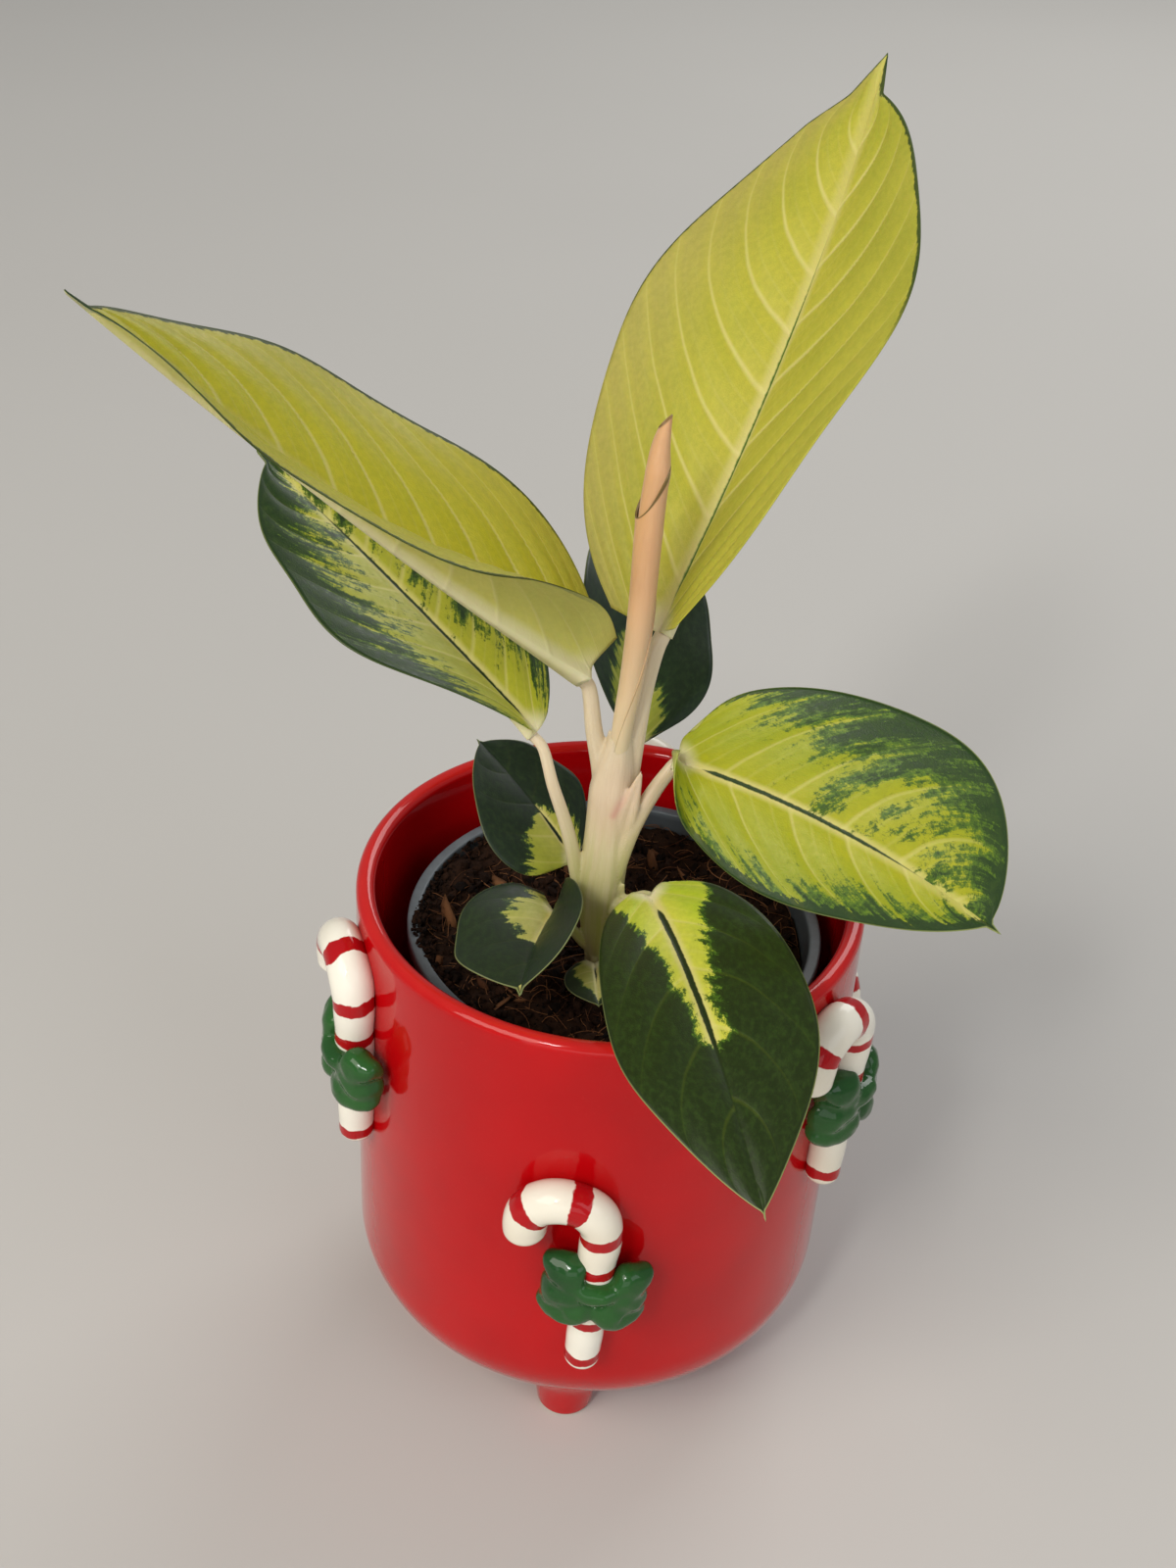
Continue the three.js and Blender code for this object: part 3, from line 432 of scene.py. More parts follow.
def pot_wall_radius(height):
    """Outer radius of the tapering wall at a height."""
    share = (height - POT_FLOOR) / (POT_RIM - POT_FLOOR)
    return POT_BASE_RADIUS + (POT_TOP_RADIUS - POT_BASE_RADIUS) * share


def pot_profile():
    """Radius and height along the nursery pot's skin, from its floor over the rolled lip."""
    lip_foot = POT_RIM - POT_LIP_HEIGHT
    inside = POT_FLOOR + POT_WALL
    lip_inner = POT_TOP_RADIUS - POT_WALL
    return np.vstack([
        straight((0, POT_FLOOR), (POT_BASE_RADIUS, POT_FLOOR), 5),
        arc(POT_BASE_RADIUS - POT_EDGE, POT_FLOOR + POT_EDGE, POT_EDGE, -90, -8, 5),
        straight((POT_BASE_RADIUS, POT_FLOOR), (pot_wall_radius(lip_foot), lip_foot), 24),
        arc(POT_RADIUS - POT_EDGE, lip_foot + POT_EDGE, POT_EDGE, -90, 0, 5),
        arc(POT_RADIUS - POT_EDGE, POT_RIM - POT_EDGE, POT_EDGE, 0, 90, 7),
        arc(lip_inner + POT_EDGE, POT_RIM - POT_EDGE, POT_EDGE, 90, 180, 7),
        straight((lip_inner, POT_RIM - POT_EDGE), (pot_wall_radius(inside) - POT_WALL, inside), 24),
        straight((pot_wall_radius(inside) - POT_WALL, inside), (0, inside), 4),
    ])


def cut_drains(made):
    """Cuts the drain holes out of the pot's floor."""
    angles = np.linspace(0, TURN, 32, endpoint=False)
    ring = np.stack([np.cos(angles), np.sin(angles)], -1) * DRAIN_RADIUS
    drills = []
    for i in range(DRAIN_COUNT):
        turn = i * TURN / DRAIN_COUNT
        spot = ring + DRAIN_CIRCLE * np.array([math.cos(turn), math.sin(turn)])
        levels = [POT_FLOOR - POT_WALL, POT_FLOOR + 2 * POT_WALL]
        drills.append(closed_tube(np.array([np.insert(spot, 2, level, axis=1) for level in levels])))
    tool = make_object("drill", *merge(drills))
    cut = made.modifiers.new("drains", "BOOLEAN")
    cut.object = tool
    cut.operation = "DIFFERENCE"
    cut.solver = "EXACT"
    bake(made, "nursery_pot")
    bpy.data.objects.remove(tool)


nursery_pot = make_object("grow_pot", *closed_tube(turned_rings(pot_profile(), POT_SIDES)))
cut_drains(nursery_pot)
nursery_pot.data.set_sharp_from_angle(angle=math.radians(50))
nursery_pot.data.transform(Matrix.Translation(Vector(POT_SHIFT) * MM))
print("drain holes:", DRAIN_COUNT, "of", 2 * DRAIN_RADIUS, "mm")

# %% [markdown]
# Polypropylene with a recycled grey pigment. It is slightly soft and waxy, so its gloss is broad,
# and the lip is scuffed paler from stacking. Soil dust clings to the wall above the soil.

# %% Grey polypropylene


def grey_polypropylene():
    """Waxy grey plastic, scuffed pale along the lip and dusty below it."""
    material, tree = new_material("grey_polypropylene")
    place = add(tree, "TexCoord", {}).outputs["Object"]
    height = add(tree, "SeparateXYZ", {0: place}).outputs["Z"]
    scuff = add(tree, "TexNoise", {"Vector": place, "Scale": 1 / (5 * MM), "Detail": 6.0,
                                   "Roughness": 0.65})
    lip = add(tree, "MapRange", {0: height, 1: (POT_RIM - 2.0) * MM, 2: (POT_RIM - 0.6) * MM})
    pale = add(tree, "Math", {0: lip.outputs[0], 1: scuff.outputs[0]}, operation="MULTIPLY")
    body = add(tree, "Mix", {0: pale.outputs[0], 6: paint("#454B4F"), 7: paint("#717B81")},
               data_type="RGBA")
    dust = add(tree, "MapRange", {0: scuff.outputs[0], 1: 0.52, 2: 0.66, 3: 0.0, 4: 0.55})
    low = add(tree, "MapRange", {0: height, 1: (POT_RIM - 6) * MM, 2: (POT_RIM - 1) * MM, 3: 1.0,
                                 4: 0.0})
    dirt = add(tree, "Math", {0: dust.outputs[0], 1: low.outputs[0]}, operation="MULTIPLY")
    colour = add(tree, "Mix", {0: dirt.outputs[0], 6: body.outputs[2], 7: paint("#3A2A20")},
                 data_type="RGBA")
    rough = add(tree, "MapRange", {0: scuff.outputs[0], 3: 0.38, 4: 0.62})
    grain = add(tree, "TexNoise", {"Vector": place, "Scale": 1 / (0.6 * MM), "Detail": 2.0})
    lift = add(tree, "Bump", {"Height": grain.outputs[0], "Strength": 0.2, "Distance": 0.08 * MM})
    shader = add(tree, "BsdfPrincipled", {
        "Base Color": colour.outputs[2], "Roughness": rough.outputs[0], "IOR": 1.49,
        "Normal": lift.outputs[0],
    })
    finish(tree, shader)
    return material


place_piece(nursery_pot, "nursery_pot", [grey_polypropylene()])

# %% [markdown]
# Potting mix is crumbs of peat with coir fibres and a few chips of bark. From a step away the
# crumbs are what makes it soil, so they are real lumps scattered over a low mound, not a bump.
# The mound is banked up on the left, where some crumbs have spilled on the pot's rim.
# Each lump is a small ball pushed in and out by noise, copied at a random size and turn from a
# seeded generator, so every run gives the same soil.

# %% Soil mound
SOIL_HEIGHT = 141.0
SOIL_BUMP = 0.8
SOIL_SMALL_BUMP = 0.5
SOIL_EDGE_SINK = 1.5
SOIL_GRAIN = 2.6
SOIL_ROUGHNESS = 0.9
BANK_HEIGHT = 6.6
BANK_SPREAD = 1.5
BANK_MIDDLE = math.radians(155)
RIM_SPILL = math.radians(190)
SOIL_RINGS = 64
SOIL_SPOKES = 168
STEM_FOOT = (-2.8, -12.3)
STEM_SPOT = np.array([STEM_FOOT[0] - POT_SHIFT[0], STEM_FOOT[1]])
soil_edge = pot_wall_radius(SOIL_HEIGHT - SOIL_EDGE_SINK) - POT_WALL - 0.2
draws = np.random.default_rng(7)


def soil_level(x, y):
    """Height of the soil's surface: low lumps, and a crease where it meets the pot."""
    lumps = SOIL_BUMP * np.sin(x / 5.3 + 1) * np.cos(y / 6.1)
    small = SOIL_SMALL_BUMP * np.sin((x + y) / 3.7 + 2)
    reach = np.hypot(x, y) / soil_edge
    from_bank = np.abs((np.arctan2(y, x) - BANK_MIDDLE + math.pi) % TURN - math.pi)
    bank = BANK_HEIGHT * np.exp(-((from_bank / BANK_SPREAD) ** 2)) * reach**2
    return SOIL_HEIGHT + lumps + small + bank - SOIL_EDGE_SINK * reach**4


def soil_mound():
    """The mound: the rough upper surface, the wall and the floor, as one closed skin."""
    angles = np.linspace(0, TURN, SOIL_SPOKES, endpoint=False)
    bottom = POT_FLOOR + POT_WALL + 0.3
    rings = []
    for share in np.linspace(0.02, 1, SOIL_RINGS):
        x = soil_edge * share * np.cos(angles)
        y = soil_edge * share * np.sin(angles)
        spots = [Vector((a / SOIL_GRAIN, b / SOIL_GRAIN, 0)) for a, b in zip(x, y)]
        rough = np.array([noise.turbulence(spot, 3, False) for spot in spots])
        rings.append(np.stack([x, y, soil_level(x, y) + SOIL_ROUGHNESS * (rough - 0.45)], -1))
    low = pot_wall_radius(bottom) - POT_WALL - 0.6
    for share in np.linspace(1, 0.02, 4):
        flat = np.stack([low * share * np.cos(angles), low * share * np.sin(angles)], -1)
        rings.append(np.insert(flat, 2, bottom, axis=1))
    return closed_tube(np.array(rings))


mound = soil_mound()
print("mound:", len(mound[0]), "points, edge radius", round(soil_edge, 1), "mm")

# %% Crumbs, fibres and bark
BIG_CRUMBS = 1500
SMALL_CRUMBS = 1500
FIBRES = 480
CHIPS = 26
SPILLED_CRUMBS = 420
STEM_CLEARANCE = 5.5


def ball(rounds):
    """Points and faces of a small ball."""
    work = bmesh.new()
    bmesh.ops.create_icosphere(work, subdivisions=rounds, radius=1)
    points = np.array([vertex.co[:] for vertex in work.verts])
    faces = [[vertex.index for vertex in face.verts] for face in work.faces]
    work.free()
    return points, faces


def random_turn():
    """A random rotation matrix."""
    spin = draws.normal(size=4)
    w, x, y, z = spin / np.linalg.norm(spin)
    return np.array([
        [1 - 2 * (y * y + z * z), 2 * (x * y - z * w), 2 * (x * z + y * w)],
        [2 * (x * y + z * w), 1 - 2 * (x * x + z * z), 2 * (y * z - x * w)],
        [2 * (x * z - y * w), 2 * (y * z + x * w), 1 - 2 * (x * x + y * y)],
    ])


def random_spot():
    """A place on the soil, clear of the stem."""
    while True:
        angle = draws.uniform(0, TURN)
        reach = (soil_edge - 1.2) * math.sqrt(draws.uniform(0, 1))
        spot = reach * np.array([math.cos(angle), math.sin(angle)])
        if np.hypot(*(spot - STEM_SPOT)) > STEM_CLEARANCE:
            return spot


def crumb(rounds, size, stretch=(1, 0.8, 0.62)):
    """A lump of peat at the origin."""
    points, faces = ball(rounds)
    shift = draws.uniform(0, 90)
    push = [1 + 1.15 * noise.noise(Vector(point * 1.9 + shift)) for point in points]
    shaped = points * np.array(push)[:, None] * np.array(stretch) * size
    return shaped @ random_turn().T, faces


def scattered(rounds, count, smallest, largest):
    """Crumbs that lie on the soil, half sunk in."""
    lumps = []
    for _ in range(count):
        size = smallest + (largest - smallest) * draws.uniform(0, 1) ** 2.2
        points, faces = crumb(rounds, size)
        x, y = random_spot()
        lumps.append((points + np.array([x, y, soil_level(x, y) + 0.3 * size]), faces))
    return lumps


def spilled(count):
    """Crumbs heaped against the pot's rim on the left, where the soil reaches over it."""
    lumps = []
    for _ in range(count):
        angle = RIM_SPILL + draws.normal(0, 0.55)
        heaped = math.exp(-(((angle - RIM_SPILL) / 0.25) ** 2))
        reach = soil_edge + 1.0 + 1.8 * heaped - abs(draws.normal(0, 2.2))
        size = draws.uniform(0.4, 1.1)
        height = POT_RIM - 1.2 * (1 - heaped) - 0.8 * max(0.0, soil_edge - reach)
        points, faces = crumb(1, size)
        spot = np.array([reach * math.cos(angle), reach * math.sin(angle), height + 0.2 * size])
        lumps.append((points + spot, faces))
    return lumps


def fibre():
    """A thin bent strand of coir that lies on the soil."""
    x, y = random_spot()
    length = draws.uniform(5, 17)
    heading = draws.uniform(0, TURN)
    bend = draws.normal(0, 1.5)
    arch = draws.uniform(0.2, 2.2) * draws.uniform(0, 1)
    thick = draws.uniform(0.06, 0.15)
    rows = 9
    rings = []
    for share in np.linspace(0, 1, rows):
        angle = heading + bend * share
        x += length / rows * math.cos(angle)
        y += length / rows * math.sin(angle)
        inside = min(1.0, (soil_edge - 0.8) / max(1e-6, math.hypot(x, y)))
        x, y = x * inside, y * inside
        height = soil_level(x, y) + 0.5 + arch * math.sin(math.pi * share)
        corners = np.array([[math.cos(a), math.sin(a)] for a in np.arange(3) * TURN / 3]) * thick
        side = np.array([-math.sin(angle), math.cos(angle), 0])
        spots = [np.array([x, y, height]) + c[0] * side + np.array([0, 0, c[1]]) for c in corners]
        rings.append(spots)
    return closed_tube(np.array(rings))


def bark_chip():
    """A flat splinter of bark."""
    points, faces = crumb(1, draws.uniform(1.6, 3.4), (1.5, 0.55, 0.2))
    x, y = random_spot()
    return points + np.array([x, y, soil_level(x, y) + 0.7]), faces


crumbs = scattered(1, BIG_CRUMBS, 0.5, 2.1) + scattered(1, SMALL_CRUMBS, 0.3, 0.7)
crumbs += spilled(SPILLED_CRUMBS)
strands = [fibre() for _ in range(FIBRES)]
chips = [bark_chip() for _ in range(CHIPS)]
soil_parts = [mound, *crumbs, *strands, *chips]
soil = make_object("potting_mix", *merge(soil_parts))
smooth = [True, *[False] * len(crumbs), *[True] * len(strands + chips)]
smooth_flags = [np.full(len(faces), kept) for (_, faces), kept in zip(soil_parts, smooth)]
soil.data.polygons.foreach_set("use_smooth", np.concatenate(smooth_flags))
soil.data.transform(Matrix.Translation(Vector(POT_SHIFT) * MM))
kinds = [(mound, 0.0), *[(c, 0.0) for c in crumbs], *[(s, 1.0) for s in strands],
         *[(c, 0.6) for c in chips]]
tags = [np.tile([kind, draws.uniform(0, 1), 0.0], (len(part[0]), 1)) for part, kind in kinds]
set_attribute(soil, "soil_kind", np.vstack(tags))
print("crumbs:", len(crumbs), "fibres:", len(strands), "chips:", len(chips))

# %% [markdown]
# Moist peat is nearly black brown and takes the light like velvet, while dry coir is a warm
# reddish straw. Each lump carries its kind and a random number, so one material can give every
# crumb its own shade.

# %% Peat and coir


def peat_and_coir():
    """Crumbs, bark and fibres, each shaded by its kind and its own random number."""
    material, tree = new_material("peat_and_coir")
    place = add(tree, "TexCoord", {}).outputs["Object"]
    tag = add(tree, "Attribute", {}, attribute_name="soil_kind").outputs["Vector"]
    kind = add(tree, "SeparateXYZ", {0: tag})
    grain = add(tree, "TexNoise", {"Vector": place, "Scale": 1 / (0.9 * MM), "Detail": 5.0,
                                   "Roughness": 0.7})
    shade = add(tree, "Math", {0: kind.outputs["Y"], 1: grain.outputs[0]}, operation="MULTIPLY")
    peat = add(tree, "Mix", {0: shade.outputs[0], 6: paint("#0D0806"), 7: paint("#3D2618")},
               data_type="RGBA")
    coir = add(tree, "Mix", {0: kind.outputs["Y"], 6: paint("#4A2A1A"), 7: paint("#8A5E3C")},
               data_type="RGBA")
    colour = add(tree, "Mix", {0: kind.outputs["X"], 6: peat.outputs[2], 7: coir.outputs[2]},
                 data_type="RGBA")
    lift = add(tree, "Bump", {"Height": grain.outputs[0], "Strength": 0.8, "Distance": 0.5 * MM})
    shader = add(tree, "BsdfPrincipled", {
        "Base Color": colour.outputs[2], "Roughness": 0.92, "IOR": 1.4, "Specular IOR Level": 0.15,
        "Normal": lift.outputs[0],
    })
    finish(tree, shader)
    return material


place_piece(soil, "soil", [peat_and_coir()])

# %% [markdown]
# The candy canes and bows are sprigs: small clay forms pressed in their own moulds and stuck on
# the wet planter. A cane is a round bar along a line, a straight stick that thickens and turns
# into a half circle. The line is a smooth curve through a few named places, walked at even steps.

# %% Smooth curves and bars
CANE_FOOT = (0.0, 48.7)
CANE_HOOK_RADIUS = 9.6
CANE_HOOK_CENTRE = (-6.9, 103.6)
CANE_TIP_DROP = 6.4
CANE_THIN = 4.9
CANE_THICK = 6.05
CANE_STICK_SHARE = 0.74
CANE_SEAT = 0.86
CANE_LIFT = 42.0
CANE_PLACES = ["front", "front_right", "back_right", "back", "back_left", "front_left"]
CANE_NUDGES = {"front_right": (0.0, -2.2), "front_left": (-5.0, -2.3)}


def smooth_curve(stops, count):
    """Evenly spaced points on a smooth curve through the stops (centripetal Catmull-Rom)."""
    stops = np.asarray(stops, float)
    ends = [2 * stops[0] - stops[1], *stops, 2 * stops[-1] - stops[-2]]
    fine = []
    for a, b, c, d in zip(ends, ends[1:], ends[2:], ends[3:]):
        first, middle, last = [np.linalg.norm(q - p) ** 0.5 for p, q in ((a, b), (b, c), (c, d))]
        leave = middle * ((b - a) / first - (c - a) / (first + middle) + (c - b) / middle)
        arrive = middle * ((c - b) / middle - (d - b) / (middle + last) + (d - c) / last)
        t = np.linspace(0, 1, 24, endpoint=False)[:, None]
        ease = 3 * t**2 - 2 * t**3
        fine.append((1 - ease) * b + ease * c + (t**3 - 2 * t**2 + t) * leave + (t**3 - t**2) * arrive)
    fine = np.vstack([*fine, stops[-1:]])
    walked = np.insert(np.cumsum(np.linalg.norm(np.diff(fine, axis=0), axis=1)), 0, 0)
    even = np.linspace(0, walked[-1], count)
    return np.stack([np.interp(even, walked, fine[:, k]) for k in range(3)], -1), walked[-1]


def bar_rings(line, radii, sides, reference, shape=None):
    """Rings round a line. shape(angle, share) may change the radius round the section."""
    tangent = np.gradient(line, axis=0)
    tangent /= np.linalg.norm(tangent, axis=1)[:, None]
    side = np.cross(tangent, np.asarray(reference, float))
    side /= np.linalg.norm(side, axis=1)[:, None]
    front = np.cross(side, tangent)
    angles = np.linspace(0, TURN, sides, endpoint=False)
    share = np.linspace(0, 1, len(line))[:, None]
    reach = np.asarray(radii)[:, None] * (shape(angles[None], share) if shape else 1.0)
    return (line[:, None] + (reach * np.cos(angles))[..., None] * side[:, None]
            + (reach * np.sin(angles))[..., None] * front[:, None])


def on_wall(x, forward, z):
    """A place on the planter's front wall: x is measured round it, forward out from it."""
    angle = np.asarray(x) / PLANTER_RADIUS
    radius = PLANTER_RADIUS + np.asarray(forward)
    height = np.broadcast_to(z, np.shape(radius * angle))
    return np.stack([radius * np.sin(angle), -radius * np.cos(angle), height], -1)


def cane_stops():
    """Places along the front cane: its stick, its half circle and its short tip."""
    shoulder = CANE_HOOK_CENTRE[0] + CANE_HOOK_RADIUS
    stops = []
    for share in np.arange(4) / 4:
        x = CANE_FOOT[0] + (shoulder - CANE_FOOT[0]) * share
        z = CANE_FOOT[1] + (CANE_HOOK_CENTRE[1] - CANE_FOOT[1]) * share
        stops.append(on_wall(x, CANE_SEAT * (CANE_THIN + (CANE_THICK - CANE_THIN) * share), z))
    for angle in np.linspace(0, math.pi, 7):
        x = CANE_HOOK_CENTRE[0] + CANE_HOOK_RADIUS * math.cos(angle)
        z = CANE_HOOK_CENTRE[1] + CANE_HOOK_RADIUS * math.sin(angle)
        stops.append(on_wall(x, CANE_SEAT * CANE_THICK, z))
    x = CANE_HOOK_CENTRE[0] - CANE_HOOK_RADIUS
    stops.append(on_wall(x, CANE_SEAT * CANE_THICK, CANE_HOOK_CENTRE[1] - CANE_TIP_DROP))
    return stops


# %% [markdown]
# Six canes stand round the wall, low and high in turn, and two of them sit a little off their
# even places. The hand that dipped and painted them was quick: the bands are a little uneven, so
# their edges follow a noise.

# %% Candy canes
CANE_SIDES = 40
CANE_ROWS = 150
CANE_END = 3.6
BAND_PLACES = (5.0, 20.0, 41.6, 54.2, 67.1, 80.4)
BAND_WIDTH = 3.5
BAND_BLUR = 0.12
BAND_WOBBLE = 1.5


def cane_skin():
    """The cane at the front: its rings, and how far each lies along it in millimetres."""
    line, length = smooth_curve(cane_stops(), CANE_ROWS)
    along = np.linspace(0, length, CANE_ROWS)
    thick = np.clip(along / length / CANE_STICK_SHARE, 0, 1)
    radii = CANE_THIN + (CANE_THICK - CANE_THIN) * thick
    radii += 0.12 * np.sin(along / 4.1) + 0.08 * np.sin(along / 1.9 + 1)
    for from_end in (along, length - along):
        near = np.clip(from_end / CANE_END, 0, 1)
        radii = radii * np.sqrt(np.clip(1 - (1 - near) ** 2, 0.002, 1)) ** 0.8
    rings = bar_rings(line, radii, CANE_SIDES, (0, -1, 0))
    return rings, along


def spun(points, azimuth, lift):
    """Points turned round the planter's axis and lifted."""
    c, s = math.cos(azimuth), math.sin(azimuth)
    turn = np.array([[c, -s, 0], [s, c, 0], [0, 0, 1]])
    return points @ turn.T + np.array([0, 0, lift])


def stood(points, place_name):
    """The front cane or bow at one of the six places, where the potter's hand put it."""
    i = CANE_PLACES.index(place_name)
    turn, lift = CANE_NUDGES.get(place_name, (0.0, 0.0))
    return spun(points, i * TURN / len(CANE_PLACES) + math.radians(turn), CANE_LIFT * (i % 2) + lift)


def white_glaze_bands(tree, coloured):
    """Red bands painted over the white glaze, at the places measured on the front cane."""
    tag = add(tree, "Attribute", {}, attribute_name="cane_place").outputs["Vector"]
    along = add(tree, "SeparateXYZ", {0: tag}).outputs["X"]
    place = add(tree, "TexCoord", {}).outputs["Object"]
    shake = add(tree, "TexNoise", {"Vector": place, "Scale": 1 / (6 * MM), "Detail": 3.0})
    wobble = add(tree, "MapRange", {0: shake.outputs[0], 3: -BAND_WOBBLE, 4: BAND_WOBBLE})
    spot = add(tree, "Math", {0: along, 1: wobble.outputs[0]}, operation="ADD")
    for middle in BAND_PLACES:
        near = add(tree, "Math", {0: spot.outputs[0], 1: middle}, operation="SUBTRACT")
        far = add(tree, "Math", {0: near.outputs[0]}, operation="ABSOLUTE")
        inside = add(tree, "MapRange", {0: far.outputs[0], 1: BAND_WIDTH / 2 - BAND_BLUR,
                                        2: BAND_WIDTH / 2 + BAND_BLUR, 3: 1.0, 4: 0.0})
        coloured = add(tree, "Mix", {0: inside.outputs[0], 6: coloured, 7: paint("#AE1016")},
                       data_type="RGBA").outputs[2]
    return coloured


white_glaze = earthenware_glaze("white_glazed_cane", "#F3EEDF", "#F8F4E8", "#EAE1CC",
                                white_glaze_bands)
cane_rings, cane_along = cane_skin()
cane_tags = np.repeat(np.stack([cane_along, cane_along * 0, cane_along * 0], -1), CANE_SIDES, axis=0)
cane_tags = np.vstack([cane_tags, [cane_along[0], 0, 0], [cane_along[-1], 0, 0]])
cane_points, cane_faces = closed_tube(cane_rings)
for place_name in CANE_PLACES:
    cane = make_object(f"cane_{place_name}", stood(cane_points, place_name), cane_faces)
    set_attribute(cane, "cane_place", cane_tags)
    place_piece(cane, f"candy_cane_{place_name}", [white_glaze])

# %% [markdown]
# A bow is pressed clay too, so it is one soft body: two puffed loops, two tails, a web between
# loop and tail on each side, and a knot. Each part is a flattened bar along a short line, given
# by its places across and up the wall, how far forward it lies, and how wide and deep it is. A
# voxel remesh melts the parts into one skin, the way the glaze fills their joints.

# %% Bows
BOW_CENTRE = (2.4, 80.6)
BOW_VOXEL = 0.42
BOW_SMOOTHING = 36
BOW_UNEVEN = 0.35
BOW_LUMP = 3.4
BOW_ROWS = 30
BOW_SIDES = 40
BOW_BLUNTNESS = 8
BOW_SINK = 1.5
BOW_PARTS = [
    {"line": [(-2.8, 7.2), (-6.2, 7.8), (-9.6, 7.6), (-12.6, 6.6)], "forward": (8.2, 7.6, 6.6, 5.2),
     "wide": (5.8, 6.6, 6.8, 6.4), "deep": (4.2, 5.0, 5.0, 4.2)},
    {"line": [(3.6, 6.2), (6.8, 5.4), (10.0, 4.2), (12.8, 2.8)], "forward": (8.2, 7.6, 6.6, 5.2),
     "wide": (5.2, 6.0, 6.2, 5.6), "deep": (4.2, 5.0, 5.0, 4.2)},
    {"line": [(-2.8, 0.8), (-5.6, -5.2), (-9.4, -5.4), (-13.4, -1.8)], "forward": (9.4, 8.4, 6.8, 4.8),
     "wide": (3.4, 5.0, 4.8, 4.2), "deep": (3.2, 4.6, 4.6, 3.6)},
    {"line": [(2.2, 0.6), (4.6, -6.2), (7.8, -5.8), (11.6, -3.0)], "forward": (9.4, 8.8, 7.2, 5.0),
     "wide": (3.2, 5.0, 4.8, 4.2), "deep": (3.2, 4.6, 4.6, 3.6)},
    {"line": [(-3.4, 2.9), (-7, 1.0), (-11, 0.6), (-14.4, 0.8)], "forward": (9.2, 8.2, 6.8, 4.6),
     "wide": (4.4, 5.6, 5.4, 4.2), "deep": (3.6, 4.4, 4.6, 3.6)},
    {"line": [(3.4, 2.4), (6.6, -0.2), (10, -0.8), (13.2, -0.8)], "forward": (9.2, 8.2, 6.8, 4.6),
     "wide": (4.4, 5.6, 5.4, 4.6), "deep": (3.6, 4.4, 4.6, 3.6)},
    {"line": [(0.4, 7.2), (0.1, 5.0), (-0.4, 2.8), (-0.5, 0.8)], "forward": (10.0, 10.8, 10.8, 9.6),
     "wide": (5.8, 5.8, 5.0, 3.4), "deep": (3.2, 3.6, 3.6, 3.0)},
]


def bow_part(part):
    """One loop, tail, web or knot: a flattened bar over the wall with blunt ends."""
    flat = [(x, forward, z) for (x, z), forward in zip(part["line"], part["forward"])]
    line = smooth_curve(flat, BOW_ROWS)[0]
    share = np.linspace(0, 1, BOW_ROWS)
    stops = np.linspace(0, 1, len(part["wide"]))
    wide = np.interp(share, stops, part["wide"])
    deep = np.interp(share, stops, part["deep"])
    ends = np.clip(1 - np.abs(2 * share - 1) ** BOW_BLUNTNESS, 0.02, 1) ** 0.5
    tangent = np.gradient(line, axis=0)
    tangent[:, 1] = 0
    tangent /= np.linalg.norm(tangent, axis=1)[:, None]
    across = np.stack([-tangent[:, 2], tangent[:, 1], tangent[:, 0]], -1)
    angles = np.linspace(0, TURN, BOW_SIDES, endpoint=False)
    local = line[:, None] + ((wide * ends)[:, None] * np.cos(angles))[..., None] * across[:, None]
    local[..., 1] += (deep * ends)[:, None] * np.sin(angles)
    placed = on_wall(local[..., 0] + BOW_CENTRE[0], np.maximum(local[..., 1], -BOW_SINK),
                     local[..., 2] + BOW_CENTRE[1])
    return closed_tube(placed)


def melt(made, voxel, rounds, name):
    """Makes one skin over all the parts of an object and smooths its joints."""
    remesh = made.modifiers.new("melt", "REMESH")
    remesh.mode = "VOXEL"
    remesh.voxel_size = voxel * MM
    smooth = made.modifiers.new("soften", "SMOOTH")
    smooth.factor = 0.5
    smooth.iterations = rounds
    bake(made, name)


bow_form = make_object("bow_form", *merge([bow_part(part) for part in BOW_PARTS]))
melt(bow_form, BOW_VOXEL, BOW_SMOOTHING, "bow_form")
bow_points = np.array([vertex.co[:] for vertex in bow_form.data.vertices])
bow_points = (bow_points - AXIS) / MM
bow_normals = np.array([vertex.normal[:] for vertex in bow_form.data.vertices])
bow_push = np.array([noise.noise(Vector(point / BOW_LUMP)) for point in bow_points])
bow_points = bow_points + BOW_UNEVEN * bow_push[:, None] * bow_normals
bow_faces = [list(face.vertices) for face in bow_form.data.polygons]
bpy.data.objects.remove(bow_form)
green_glaze = earthenware_glaze("green_glazed_bow", "#2E5E2A", "#467C40", "#1F4621")
for place_name in CANE_PLACES:
    bow = make_object(f"ribbon_{place_name}", stood(bow_points, place_name), bow_faces)
    place_piece(bow, f"bow_{place_name}", [green_glaze])

# %% [markdown]
# An aglaonema has no woody stem at this age. What looks like one is a stack of leaf bases: each
# petiole widens downwards into a sheath that wraps the next. The bars of the petioles, the
# shaft and the free sheath tips are melted into one skin, and every point of that skin then
# takes over the fibre direction of the nearest bar, so the fine lines run up each petiole.

